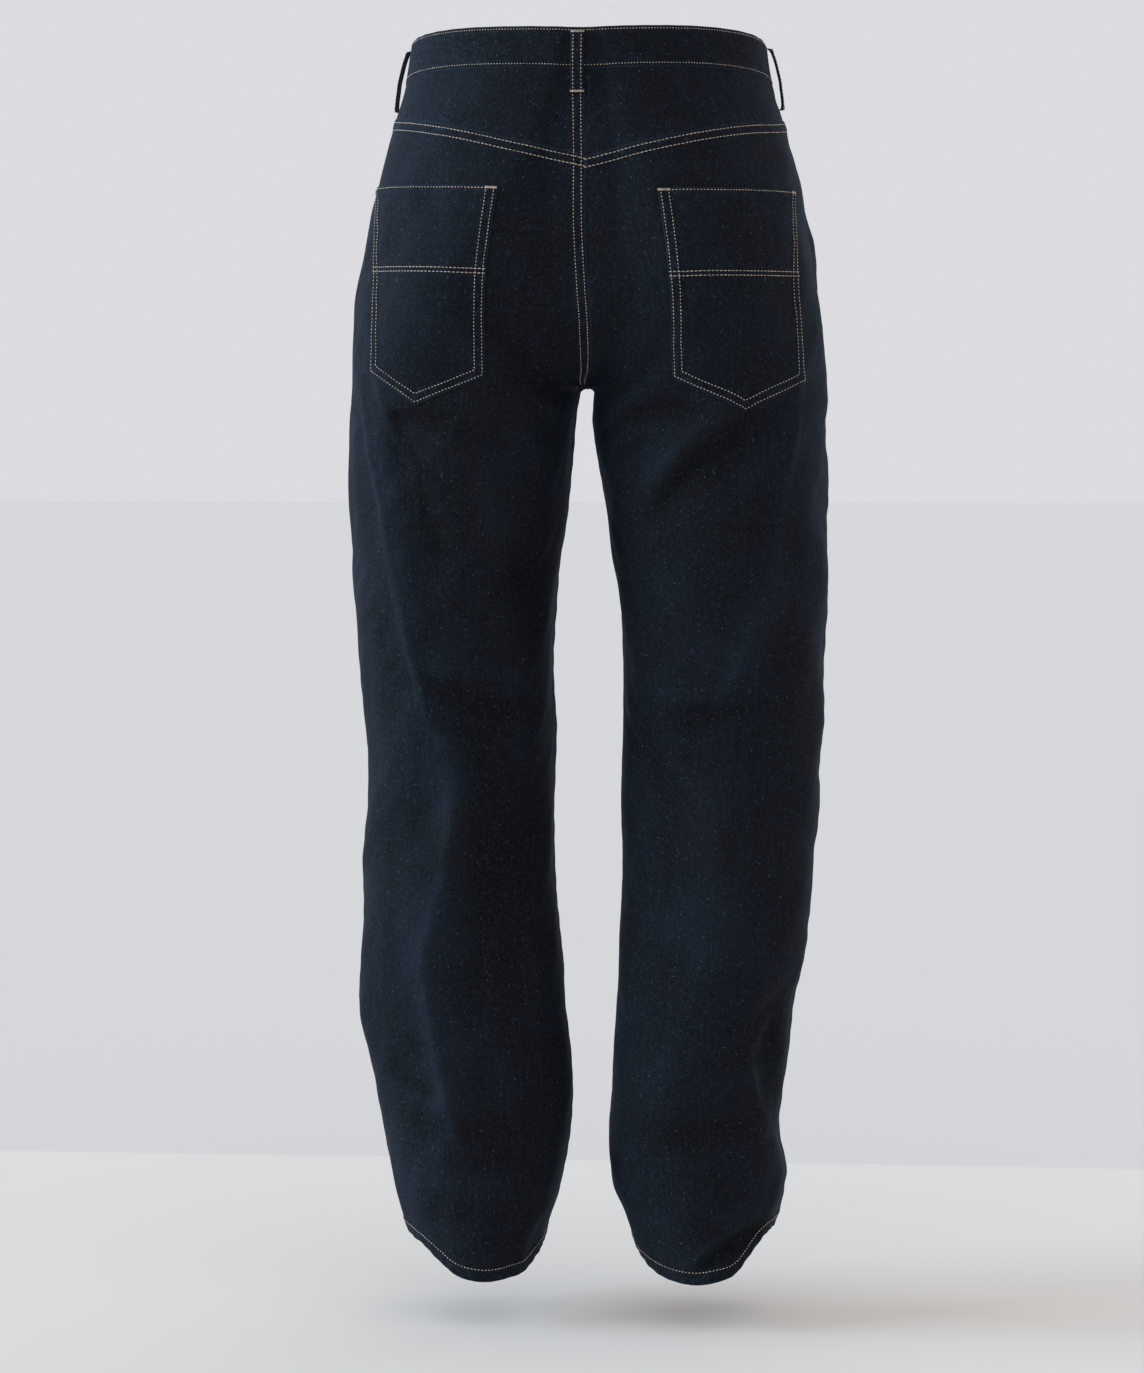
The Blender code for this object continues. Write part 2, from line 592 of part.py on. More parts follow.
def cut_body(name, polygons, high, low, recipe):
    """Closed cloth piece over loose polygons that share corners."""
    bm = bmesh.new()
    made = {}
    sides = {}

    def corner(entry, offset, level):
        key = (level,) + tuple(np.round(entry[:3], 3))
        if key not in made:
            made[key] = bm.verts.new((entry[:3] + unit(entry[3:6]) * offset) * MM)
        return made[key]

    for polygon in polygons:
        for level, offset in enumerate((high, low)):
            ring = []
            for entry in polygon:
                vert = corner(entry, offset, level)
                if not ring or ring[-1] is not vert:
                    ring.append(vert)
            if ring[0] is ring[-1]:
                ring.pop()
            if len(ring) < 3 or len(set(ring)) < len(ring):
                continue
            bm.faces.new(ring)
            sides.setdefault(level, []).append(ring)
    used = set()
    for ring in sides[0]:
        used.update(zip(ring, ring[1:] + ring[:1]))
    above = {vert: key for key, vert in made.items()}
    for start, end in used:
        if (end, start) in used:
            continue
        low_start = made[(1,) + above[start][1:]]
        low_end = made[(1,) + above[end][1:]]
        bm.faces.new((start, end, low_end, low_start))
    bmesh.ops.triangulate(bm, faces=[f for f in bm.faces if len(f.verts) > 4])
    return add_body(name, bm, recipe)


def snapped(value, grain):
    """Values that lie within the grain of zero set to zero."""
    return np.where(np.abs(value) < grain, 0.0, value)


def build_panels(side, word, points, normals):
    """Yoke, back panel, front panel, pocket and facing of one half."""
    split = BACK_COLUMNS + 1
    back, back_out = points[:, :split], normals[:, :split]
    front, front_out = points[:, split:], normals[:, split:]
    wall = np.full(points.shape[0], CLOTH)
    wall[-2:] = HEM_WALL
    wall = wall[:, None, None]
    down = unit(back[YOKE_LINES + 1] - back[YOKE_LINES]) * SEAM_GAP / 2
    yoke = back[:YOKE_LINES + 1].copy()
    yoke[-1] -= down
    yoke_out = back_out[:YOKE_LINES + 1]
    sheet_body("yoke_" + word, yoke, yoke - yoke_out * CLOTH, DENIM)
    panel = back[YOKE_LINES:].copy()
    panel[0] += down
    inner = panel - back_out[YOKE_LINES:] * wall[YOKE_LINES:]
    sheet_body("back_" + word, panel, inner, DENIM)
    build_pocket(side, word, panel, back_out[YOKE_LINES:])
    build_front(word, front, front_out, wall)
    facing = front[:FACING_ROWS, :FACING_COLUMNS + 1]
    facing_out = front_out[:FACING_ROWS, :FACING_COLUMNS + 1]
    start = CLOTH + SEAM_GAP
    sheet_body(
        "pocket_facing_" + word,
        facing - facing_out * start,
        facing - facing_out * (start + FACING_WALL),
        DENIM,
    )


def build_pocket(side, word, panel, panel_out):
    """Patch pocket lying on the back panel."""
    reach = UPPER_LINES + SEAT_LINES + ROUND_LINES + THIGH_LINES
    area = panel[:reach]
    corners = POCKET_LEFT if side > 0 else POCKET_RIGHT
    marks = []
    for k, (x0, z0) in enumerate(corners):
        x1, z1 = corners[(k + 1) % len(corners)]
        length = math.hypot(x1 - x0, z1 - z0)
        x = area[..., 0] * side - x0
        z = area[..., 2] - z0
        marks.append(snapped(((x1 - x0) * z - (z1 - z0) * x) / length, SNAP))
    rear = np.where(panel_out[:reach, :, 1] > 0.0, 1.0, -1.0)
    marks.append(rear)
    polygons = []
    for polygon in triangles(area, panel_out[:reach], np.stack(marks, axis=-1)):
        if min(entry[-1] for entry in polygon) < 0:
            continue
        for column in range(MARKS, MARKS + len(corners)):
            if len(polygon) > 2:
                polygon = clipped(polygon, column)
        if len(polygon) > 2:
            polygons.append(polygon)
    high = SEAM_GAP + POCKET_WALL
    cut_body("back_pocket_" + word, polygons, high, SEAM_GAP, DENIM)


def build_front(word, front, front_out, wall):
    """Front panel with its pocket mouth cut away at the top outer corner."""
    steps = np.linalg.norm(np.diff(front, axis=1), axis=-1)
    across = np.concatenate([np.zeros((len(front), 1)), np.cumsum(steps, axis=1)], axis=1)
    below = front[0:1, :, 2] - front[..., 2]
    mouth = np.hypot(across / MOUTH_WIDTH, below / MOUTH_DEPTH) - 1.0
    mouth = snapped(mouth * MOUTH_DEPTH, SNAP)
    cut_rows = FACING_ROWS
    top = triangles(front[:cut_rows], front_out[:cut_rows], mouth[:cut_rows, :, None])
    polygons = []
    for polygon in top:
        polygon = clipped(polygon, MARKS)
        if len(polygon) > 2:
            polygons.append(polygon)
    lower = slice(cut_rows - 1, None)
    polygons += triangles(front[lower], front_out[lower], mouth[lower, :, None])
    made = cut_body("front_" + word, polygons, 0.0, -CLOTH, DENIM)
    thicken_hem(made, front[-2:], front_out[-2:])


def thicken_hem(made, lines, directions):
    """Move the inner face of the hem in to the thickness of the turned cloth."""
    inner = (lines - directions * CLOTH).reshape(-1, 3) * MM
    moved = (lines - directions * HEM_WALL).reshape(-1, 3) * MM
    for vert in made.data.vertices:
        place = np.array(vert.co)
        gap = np.linalg.norm(inner - place, axis=1)
        nearest = int(np.argmin(gap))
        if gap[nearest] < NEAR * MM:
            vert.co = moved[nearest]


def band_profile(side, reach, face):
    """Points and directions of the band at three heights, top to bottom."""
    leg = LEG_LEFT if side > 0 else LEG_RIGHT
    reaches = np.array([reach])
    top = edge_height(WAIST, reaches, face)
    down = np.linspace(0.0, 1.0, 3)[:, None]
    heights = top[None, :] - (BAND_HEIGHT - SEAM_GAP / 2) * down
    here = strip(leg, heights, reaches, face)[:, 0]
    near = strip(leg, heights, np.clip(reaches - BAND_NUDGE, 0.0, 1.0), face)[:, 0]
    far = strip(leg, heights, np.clip(reaches + BAND_NUDGE, 0.0, 1.0), face)[:, 0]
    along = unit(near - far) * face
    fall = unit(here[2] - here[0])
    normal = unit(np.cross(along, fall))
    if reach == 1.0:
        normal[:, 0] = 0.0
        normal = unit(normal)
        here[:, 0] = 0.0
    mirror = np.array([side, 1.0, 1.0])
    return here * mirror, normal * mirror


def build_waistband():
    """One strip round the waist whose left end laps over the right at centre front."""
    out_to_in = np.linspace(0.0, 1.0, BAND_COLUMNS + 1)
    in_to_out = out_to_in[::-1]
    stations = [(-1, reach, -1) for reach in in_to_out]
    stations += [(-1, reach, 1) for reach in out_to_in[1:]]
    stations += [(1, reach, 1) for reach in in_to_out[1:]]
    stations += [(1, reach, -1) for reach in out_to_in[1:-1]]
    made = [band_profile(*station) for station in stations]
    ends = lap_end()
    points = np.array([pair[0] for pair in made + ends]).transpose(1, 0, 2)
    normals = np.array([pair[1] for pair in made + ends]).transpose(1, 0, 2)
    outward = BAND_OUT + lap_lift(points, len(stations))
    outer = points + normals * outward[..., None]
    inner = points + normals * (outward - BAND_WALL)[..., None]
    sheet_body("waistband", outer, inner, DENIM)


def lap_end():
    """Stations of the left end past centre front, over the right end."""
    return [band_profile(-1, reach, -1) for reach in LAP_REACHES]


def lap_lift(points, count):
    """Extra stand-off of the left end where it rises over the right end."""
    left_end = np.arange(points.shape[1]) > count // 2
    front = (points[..., 1] < 0) & left_end[None, :]
    rise = np.clip((LAP_START - points[..., 0]) / (LAP_START - LAP_FULL), 0.0, 1.0)
    return np.where(front, rise * rise * (3 - 2 * rise) * LAP_CLEAR, 0.0)


def build_loops():
    """Belt loops that stand off the band and are caught down at both ends."""
    for name, side, face, reach in LOOPS:
        leg = LEG_LEFT if side > 0 else LEG_RIGHT
        band, band_out = band_profile(side, reach, face)
        out = unit(band_out[1] * np.array([1.0, 1.0, 0.0]))
        across = np.array([-out[1], out[0], 0.0])
        drop = np.linspace(0.0, 1.0, LOOP_STEPS)
        top = band[0, 2] - LOOP_ABOVE
        heights = top + (band[2, 2] - LOOP_BELOW - top) * drop
        base = strip(leg, heights[:, None], np.array([reach]), face)[:, 0]
        base = base * np.array([side, 1.0, 1.0])
        if reach == 1.0:
            base[:, 0] = 0.0
        over_band = 1.0 / (1.0 + np.exp((band[2, 2] - heights) / LOOP_EASE))
        bow = LOOP_BOW * np.abs(np.sin(math.pi * drop)) ** LOOP_SQUARE
        lift = LOOP_STAND + BAND_OUT * over_band + bow
        centre = base + out * lift[:, None]
        edges = np.array([-0.5, 0.0, 0.5]) * LOOP_WIDTH
        inner = centre[:, None, :] + edges[None, :, None] * across
        sheet_body(name, inner + out * LOOP_WALL, inner, DENIM)


def build_button():
    """Domed metal button on the lapped band end."""
    centre, normal = band_profile(1, 1.0, -1)
    base = centre[1] + normal[1] * (BAND_OUT + LAP_CLEAR + SEAM_GAP)
    base[0] = -BUTTON_PLACE
    up = np.cross(normal[1], (1.0, 0.0, 0.0))
    bm = bmesh.new()
    rings = []
    for radius, height in BUTTON_PROFILE:
        ring = []
        for k in range(BUTTON_TURNS):
            angle = 2 * math.pi * k / BUTTON_TURNS
            spot = base + normal[1] * BUTTON_HEIGHT * height
            spot = spot + up * BUTTON_RADIUS * radius * math.sin(angle)
            spot[0] += BUTTON_RADIUS * radius * math.cos(angle)
            ring.append(bm.verts.new(spot * MM))
        rings.append(ring)
    for lower, upper in zip(rings, rings[1:]):
        for k in range(BUTTON_TURNS):
            n = (k + 1) % BUTTON_TURNS
            bm.faces.new((lower[k], lower[n], upper[n], upper[k]))
    bm.faces.new(rings[0])
    bm.faces.new(rings[-1])
    add_body("waist_button", bm, BRASS)


def main():
    for found in list(bpy.data.objects):
        bpy.data.objects.remove(found, do_unlink=True)
    for side, word in ((1, "left"), (-1, "right")):
        points, normals = half_garment(side)
        build_panels(side, word, points, normals)
    build_waistband()
    build_loops()
    build_button()


main()
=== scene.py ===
"""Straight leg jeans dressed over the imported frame: denim panels, stitching, belt loops, button.

The frame is metres, +Z up, front of the garment to -Y, wearer's left to +X.
Sizes in the tables are millimetres, and MM turns them into metres.
"""

import math

import bmesh
import bpy
import numpy as np
from mathutils import Matrix, Vector
from mathutils.bvhtree import BVHTree


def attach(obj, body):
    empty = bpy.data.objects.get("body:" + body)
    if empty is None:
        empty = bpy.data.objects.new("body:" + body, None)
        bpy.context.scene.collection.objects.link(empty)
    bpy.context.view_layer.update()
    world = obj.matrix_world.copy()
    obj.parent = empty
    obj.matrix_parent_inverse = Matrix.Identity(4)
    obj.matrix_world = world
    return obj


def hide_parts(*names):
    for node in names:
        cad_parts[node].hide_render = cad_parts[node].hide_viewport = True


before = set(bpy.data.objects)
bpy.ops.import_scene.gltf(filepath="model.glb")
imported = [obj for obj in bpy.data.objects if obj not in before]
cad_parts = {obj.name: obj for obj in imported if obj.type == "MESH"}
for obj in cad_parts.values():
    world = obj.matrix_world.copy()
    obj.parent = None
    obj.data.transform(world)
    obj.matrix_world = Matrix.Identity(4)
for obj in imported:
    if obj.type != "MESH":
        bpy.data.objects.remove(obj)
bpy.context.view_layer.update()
MM = 0.001

# Cloth and sewing sizes
CLOTH = 1.2
SEAM_GAP = 0.3
HEM_WALL = 2.4
HEM_DEPTH = 14.0
BAND_WALL = 2.5
BAND_HEIGHT = 35.0
BAND_OUT = 0.65
POCKET_WALL = 1.2
FACING_WALL = 1.0

# Top edge of the waistband: reach from the outseam to the centre, back and front heights
WAIST = (
    (1, 24, 5),
    (0.75, 25.5, 7),
    (0.5, 26, 10.5),
    (0.25, 23.5, 14.5),
    (0, 17.5, 17.5),
)

# Yoke seam: reach from the outseam to the centre back, left and right heights
YOKE_SEAM = (
    (1, -83, -84),
    (0.8, -71.1, -72),
    (0.6, -59.3, -62.2),
    (0.4, -50.9, -54.5),
    (0.2, -46.1, -50.5),
    (0, -42, -46),
)
YOKE_LEFT, YOKE_RIGHT = range(1, 3)
CROTCH = -276.0
SEAT_RISE_BACK = 105.0
SEAT_RISE_FRONT = 88.0
CROTCH_ROUND = 5.0
NEAR = 0.05
FRONT_DIP = 3.0

# How far the centre back seam strays to the wearer's right: height, shift
SEAT_STRAY = (
    (30, -4),
    (-82, -6.7),
    (-140, -7.2),
    (-190, -9.5),
    (-230, -10),
    (-262, -6),
    (-276, 0),
)
STRAY_REACH = 75.0
STRAY_DEPTH = 60.0

# Hem edge: reach from the outseam to the inseam, back and front heights over the heel
HEEL = -1044.0
HEM_LEFT = (
    (1, 22, 22),
    (0.9, 15, 27),
    (0.84, 8, 33),
    (0.78, 3, 38),
    (0.7, 1, 43),
    (0.58, 0, 49),
    (0.5, 4, 51),
    (0.42, 14, 53),
    (0.32, 25, 52),
    (0.2, 32, 46),
    (0, 31, 31),
)
HEM_RIGHT = (
    (1, 26, 26),
    (0.86, 20, 34),
    (0.79, 13, 39),
    (0.72, 7, 44),
    (0.62, 2, 49),
    (0.52, 1, 52),
    (0.46, 3, 53),
    (0.38, 8, 54),
    (0.3, 22, 54),
    (0.23, 34, 52),
    (0.11, 38, 46),
    (0, 36, 36),
)
OUTSEAM_TURN = 0.09
INSEAM_TURN = 0.12
INSEAM_EASE = 120.0
ROUNDNESS = 2.1

# Grid counts of a panel and how its lines and columns gather towards seams
OUTLINE_STEPS = 420
CHUNK = 16
BACK_COLUMNS = 138
FRONT_COLUMNS = 100
YOKE_LINES = 26
UPPER_LINES = 32
SEAT_LINES = 48
ROUND_LINES = 8
THIGH_LINES = 38
LEG_LINES = 160
HEM_LINES = 34
FOLD_LINES = 8
GATHER = 0.66
SEAT_SPREAD = 4.0
FAN_SPREAD = 3.0
SEAT_SIDE = -171.0
THIGH_SIDE = -452.0
LEG_LOW = -930.0

# Torso: height, half width, middle of the side curve, back, front, side axis, cleft, blend
TORSO = (
    (30, 150.5, 18, 107, 104, 0, 0, 5),
    (18, 152.5, 20, 108.5, 105, 0, 0, 5),
    (-8, 156.5, 26, 111, 107, 0, 0.5, 7),
    (-26, 161, 32, 113, 109, 0, 1, 9),
    (-44, 166.5, 38, 116, 112, 0.5, 1.5, 11),
    (-78, 176.5, 52, 121.5, 116, 1, 3, 15),
    (-113, 185, 66, 126.5, 118, 2, 5, 20),
    (-147, 192, 80, 130, 118, 3, 7, 25),
    (-182, 197.5, 91, 131.5, 115, 4, 9, 28),
    (-217, 202, 99, 128.5, 110, 5, 11, 28),
    (-251, 205, 104, 119, 103, 6, 12, 28),
    (-276, 206, 106.3, 110, 98, 6, 12, 28),
)
HALF_WIDTH, SIDE_MIDDLE, BACK, FRONT, AXIS, CLEFT, BLEND = range(1, 8)
BLEND_SHARE = 0.6
CREST_FADE = 0.4

# Legs: height, centre, half width, girth of the cloth, centre fore and aft
LEG_LEFT = (
    (-276, 106.3, 99.7, 640, 6),
    (-304, 109.3, 98.2, 624, 5),
    (-356, 112.2, 95.8, 593, 3),
    (-391, 114, 94, 575, 1.5),
    (-426, 116.5, 90.5, 557, 0),
    (-461, 117, 88, 541, -1),
    (-496, 116.5, 85.5, 527, -2),
    (-531, 115.5, 84.5, 512, -3),
    (-567, 113, 83, 500, -4),
    (-602, 112.5, 81.5, 490, -4),
    (-637, 113, 82, 483, -2),
    (-673, 113.5, 83.5, 478, 1),
    (-708, 113, 84, 474, 4),
    (-743, 112, 86, 470, 7),
    (-779, 111, 89, 468, 9),
    (-814, 110, 90, 465, 11),
    (-850, 105, 89, 461, 12),
    (-885, 100, 87, 457, 13),
    (-921, 97.5, 82.5, 453, 13),
    (-957, 97, 76, 448, 12),
    (-992, 97, 67.5, 442, 12),
    (-1010, 96.5, 61, 438, 12),
    (-1046, 95, 54, 432, 12),
)
LEG_RIGHT = (
    (-276, 106.3, 99.7, 640, 6),
    (-304, 105.4, 100.6, 624, 5),
    (-356, 109.5, 97.5, 593, 3),
    (-391, 112.5, 94.5, 575, 1.5),
    (-426, 115, 93, 559, 0),
    (-461, 117.5, 90.5, 545, -1),
    (-496, 118, 88, 531, -2),
    (-531, 118, 87, 518, -3),
    (-567, 117.5, 87.5, 508, -4),
    (-602, 115.5, 86.5, 499, -4),
    (-637, 115, 86, 490, -2),
    (-673, 114, 84, 481, 1),
    (-708, 113.5, 83.5, 475, 4),
    (-743, 110, 81, 470, 7),
    (-779, 107.5, 79.5, 467, 9),
    (-814, 103.5, 77.5, 464, 11),
    (-850, 100, 76, 460, 12),
    (-885, 96.5, 74.5, 456, 13),
    (-921, 94, 74, 452, 13),
    (-957, 98, 76, 448, 12),
    (-975, 98.5, 73.5, 445, 12),
    (-992, 100.5, 67.5, 442, 12),
    (-1010, 101, 61.5, 438, 12),
    (-1046, 103.5, 51, 432, 12),
)
LEG_CENTRE, LEG_HALF, LEG_GIRTH, LEG_AXIS = range(1, 5)

# Large folds, each a bent line across the back (+1) or front (-1):
# leg side, face, start x z, bend x z, end x z, half width, height (troughs are negative)
FOLDS = (
    (1, 1, 182, -287, 165, -376, 133, -555, 15, 3),
    (1, 1, 115, -560, 104, -640, 120, -700, 22, 5),
    (1, 1, 120, -700, 139, -760, 126, -845, 22, 6),
    (1, 1, 126, -845, 113, -888, 104, -950, 20, 5),
    (1, 1, 74, -220, 61, -258, 14, -275, 11, -4),
    (1, 1, 163, -300, 135, -308, 103, -307, 11, -3.5),
    (1, 1, 71, -275, 41, -308, 37, -350, 12, 3.5),
    (1, 1, 72, -457, 51, -435, 30, -423, 15, -4),
    (1, 1, 138, -533, 86, -547, 50, -556, 11, -5),
    (1, 1, 132, -512, 86, -524, 43, -524, 12, 3),
    (1, 1, 60, -600, 52, -700, 64, -800, 20, -4),
    (1, 1, 150, -905, 100, -925, 50, -915, 13, -4),
    (1, 1, 150, -955, 100, -970, 58, -962, 12, 3.5),
    (-1, 1, 188, -230, 186, -310, 172, -414, 15, 3),
    (-1, 1, 172, -414, 150, -490, 128, -541, 16, 3),
    (-1, 1, 73, -229, 61, -266, 22, -284, 11, -4),
    (-1, 1, 31, -306, 60, -291, 102, -296, 11, -4),
    (-1, 1, 163, -296, 94, -346, 62, -392, 13, -5),
    (-1, 1, 153, -272, 88, -322, 48, -366, 13, 3.5),
    (-1, 1, 42, -562, 59, -602, 86, -636, 13, -4.5),
    (-1, 1, 150, -548, 110, -562, 66, -560, 12, -3.5),
    (-1, 1, 112, -600, 122, -700, 108, -800, 24, 5),
    (-1, 1, 183, -779, 146, -836, 162, -901, 12, -6),
    (-1, 1, 158, -926, 172, -938, 168, -958, 13, 4),
    (-1, 1, 150, -905, 96, -925, 46, -912, 13, -4),
    (-1, 1, 106, -1014, 136, -1004, 158, -985, 10, -4),
    (1, -1, 44, -262, 92, -246, 150, -205, 12, -4),
    (1, -1, 34, -282, 90, -284, 158, -255, 12, 3.5),
    (1, -1, 60, -545, 112, -566, 168, -550, 13, 4),
    (1, -1, 54, -590, 104, -606, 160, -588, 12, -4),
    (1, -1, 118, -620, 108, -730, 112, -850, 24, 5),
    (1, -1, 56, -880, 96, -896, 148, -872, 14, -6),
    (1, -1, 52, -915, 92, -930, 144, -908, 13, 6),
    (-1, -1, 46, -258, 96, -240, 156, -196, 12, -4),
    (-1, -1, 36, -286, 94, -280, 154, -246, 12, 3),
    (-1, -1, 58, -556, 108, -574, 166, -562, 13, 4.5),
    (-1, -1, 52, -604, 110, -618, 164, -596, 12, -4),
    (-1, -1, 112, -640, 118, -740, 106, -850, 24, 5),
    (-1, -1, 50, -872, 90, -890, 142, -880, 14, -6),
    (-1, -1, 54, -908, 96, -924, 146, -916, 13, 5.5),
)

# Finer creases, in the same columns
CREASES = (
    (1, 1, 191, -266, 177, -345, 158, -450, 3.2, 2),
    (1, 1, 160, -440, 148, -500, 132, -561, 4.2, 2),
    (1, 1, 134, -553, 126, -576, 102, -590, 4.5, 1.5),
    (1, 1, 175, -266, 168, -300, 150, -328, 3.2, 2),
    (1, 1, 153, -323, 140, -345, 135, -392, 4, 1.5),
    (1, 1, 167, -304, 140, -299, 88, -314, 7, -3.4),
    (1, 1, 158, -305, 142, -350, 114, -430, 10, -2.8),
    (1, 1, 104, -326, 70, -360, 64, -425, 15, 2.2),
    (1, 1, 58, -272, 30, -282, 15, -312, 5, 1.8),
    (1, 1, 66, -266, 44, -274, 24, -279, 8, -3.2),
    (1, 1, 108, -592, 110, -680, 136, -768, 7, 2.4),
    (1, 1, 138, -760, 132, -850, 98, -948, 7, 2.6),
    (1, 1, 88, -560, 76, -690, 92, -800, 12, -2.4),
    (1, 1, 60, -400, 44, -440, 40, -500, 10, -2.2),
    (1, 1, 44, -982, 52, -1002, 60, -1020, 5, -1.8),
    (-1, 1, 185, -266, 179, -330, 169, -380, 3, 2.4),
    (-1, 1, 170, -374, 165, -410, 163, -452, 3.8, 2),
    (-1, 1, 164, -442, 152, -490, 118, -548, 7, 1.8),
    (-1, 1, 12.5, -322, 38, -288, 114, -296, 4, -2.2),
    (-1, 1, 14, -312, 30, -291, 60, -273, 7, 2.2),
    (-1, 1, 143, -301, 92, -330, 62, -388, 5.5, -3.2),
    (-1, 1, 130, -299, 88, -318, 60, -364, 9, 2.4),
    (-1, 1, 21, -382, 25, -412, 36, -438, 3.2, 1.4),
    (-1, 1, 32, -496, 36, -560, 52, -602, 3.6, 1.5),
    (-1, 1, 44, -610, 50, -660, 70, -700, 5, 1.4),
    (-1, 1, 177, -799, 158, -820, 146, -850, 5, 1.8),
    (-1, 1, 146, -845, 147, -876, 161, -910, 3.6, 2.2),
    (-1, 1, 172, -808, 158, -850, 168, -898, 7, -3),
    (-1, 1, 156, -986, 122, -998, 98, -1024, 4.5, 3.2),
    (-1, 1, 154, -999, 130, -1009, 104, -1032, 6, -5),
    (1, 1, 150, -310, 128, -345, 110, -372, 8, -1.6),
    (1, 1, 118, -318, 100, -336, 72, -352, 8, 1.2),
    (1, 1, 60, -300, 44, -318, 22, -325, 7, -1.6),
    (1, 1, 132, -560, 104, -574, 76, -572, 7, -1.6),
    (1, 1, 122, -590, 92, -602, 64, -598, 7, -1.2),
    (1, 1, 150, -520, 120, -528, 96, -540, 6, -1.2),
    (1, 1, 172, -860, 150, -878, 118, -888, 8, -1.8),
    (1, 1, 160, -882, 138, -902, 96, -908, 8, 1.4),
    (1, 1, 50, -940, 82, -948, 112, -944, 8, -1.5),
    (1, 1, 140, -985, 112, -992, 84, -988, 8, -1.4),
    (-1, 1, 140, -330, 118, -352, 92, -372, 7, -1.6),
    (-1, 1, 166, -318, 150, -350, 118, -390, 8, 1.4),
    (-1, 1, 58, -308, 44, -330, 26, -340, 7, -1.4),
    (-1, 1, 62, -536, 86, -548, 122, -540, 7, 1.4),
    (-1, 1, 70, -580, 92, -600, 128, -598, 7, -1.4),
    (-1, 1, 176, -800, 150, -822, 120, -828, 7, -1.6),
    (-1, 1, 172, -850, 150, -868, 112, -872, 8, 1.6),
    (-1, 1, 52, -938, 84, -950, 126, -940, 8, 1.6),
    (-1, 1, 166, -980, 140, -992, 112, -990, 7, 1.6),
    (1, -1, 24, -230, 60, -222, 100, -190, 7, -1.8),
    (1, -1, 22, -205, 58, -196, 92, -168, 7, -1.4),
    (1, -1, 60, -310, 100, -314, 140, -296, 8, -1.6),
    (1, -1, 64, -522, 104, -534, 150, -522, 8, -1.6),
    (1, -1, 60, -850, 92, -862, 140, -846, 8, 1.8),
    (1, -1, 58, -950, 92, -962, 132, -948, 8, -1.8),
    (-1, -1, 26, -226, 64, -214, 104, -180, 7, -1.8),
    (-1, -1, 24, -200, 56, -190, 88, -162, 7, -1.4),
    (-1, -1, 62, -316, 104, -312, 144, -288, 8, -1.4),
    (-1, -1, 64, -536, 104, -546, 148, -536, 8, -1.6),
    (-1, -1, 56, -846, 90, -858, 136, -850, 8, 1.8),
    (-1, -1, 54, -944, 92, -956, 132, -946, 8, -1.6),
)
FOLD_STEPS = 12
FOLD_TURN = 3.0
FOLD_END = 0.02

# Soft unevenness of worn cloth: wave length, height
RUMPLE = ((95.0, 1.0), (48.0, 0.5), (24.0, 0.2))
RUMPLE_WAVES = 7
RUMPLE_SEED = 41

# How much paler a fold's crest is, as wear and painted highlight, and how much darker its hollow is, as
# painted shade, for each millimetre of height
FOLD_WEAR_AND_SHADE = 0.07
CREASE_WEAR_AND_SHADE = 0.13

# Seam forms: lapped edge rise, its width, edge roll, ridge of a pressed seam, hem rise
LAP_RISE = 0.9
LAP_WIDTH = 11.5
EDGE_ROLL = 0.5
EDGE_REACH = 1.1
RIDGE_RISE = 0.8
RIDGE_REACH = 8.0
DITCH = 0.8
HEM_RISE = 0.7
PUCKER_RISE = 0.22
PUCKER_LENGTH = 21.0
SEWN_REACH = 13.0
TUCK = 0.3
TUCK_UNDER = 1.0
TUCK_DROP = 0.35

# Seam details: soft ends of a lap and a hem, puckers of a hem, drift of the pucker waves
LAP_SOFT = 2.5
LAP_MEET = 3
HEM_SOFT = 3
HEM_PUCKER = 1.4
HEM_SLANT = 1.6
PUCKER_DRIFT = 1.7
PUCKER_SLOW = 31

# Where the pattern of each piece starts on the cloth, so that no two pieces match
YOKE_PLACE = 700
FACING_PLACE = 900
POCKET_PLACE = 2300
FRONT_PLACE = 3600
BAND_PLACE = 5200
LOOP_PLACE = 6400

# Stitch rows: distance from their seam or edge
YOKE_ROWS = (3.0, 9.6)
SEAT_ROWS = (2.8, 9.4)
FRONT_ROWS = (3.2, 9.8)
FRONT_ROWS_START = 150
SEAT_END = 4
HEM_ROW = 10.5
MOUTH_ROWS = (2.6, 9.0)
FLY_ROWS = ((36.0, 132.0), (42.4, 138.0))
FLY_END = 4
BAND_STITCHING = (2.6, BAND_HEIGHT - 3)
BAND_END_ROW = 3.0
SEARCH_ROWS = 220

# Back pocket corners in the back view, from the inner top corner round to the outer one
POCKET_LEFT = ((65.0, -109.0), (78.0, -267.0), (138.1, -291.3), (179.0, -263.7), (177.3, -104.8))
POCKET_RIGHT = ((67.6, -111.2), (79.5, -268.6), (140.4, -296.1), (189.6, -272.6), (178.5, -109.8))
CROSS_LEFT = (-179.8, -176.3)
CROSS_RIGHT = (-182.8, -181.3)
POCKET_BOW_LEFT = (3.8, 1.6)
POCKET_BOW_RIGHT = (5.0, 0.0)
POCKET_INSETS = (2.8, 9.3)
CROSS_INSET = 2.0
POCKET_COLUMNS = 64
POCKET_ROWS = 84
CROSS_GAP = 3.6
POCKET_SLOPE = 0.93
POCKET_TURN = (0.45, 9.0, 12.0)
POCKET_HEM = (0.7, 9.5, 11.5)
POCKET_ROLL = 0.7
POCKET_START = 2.6
POCKET_TOP_ROW = 2.4
POCKET_TACK_ROW = 2.2
POCKET_TACK = (0.8, 10.4)
TACK_POINTS = 12
BEHIND = 400

# Front pocket mouth and the facing under it
MOUTH_WIDTH = 92.0
MOUTH_DEPTH = 74.0
FACING_REACH = 158.0
FACING_DROP = 124.0
MOUTH_TURN = (0.45, 9.0, 12.0)
MOUTH_SNAP = 0.15

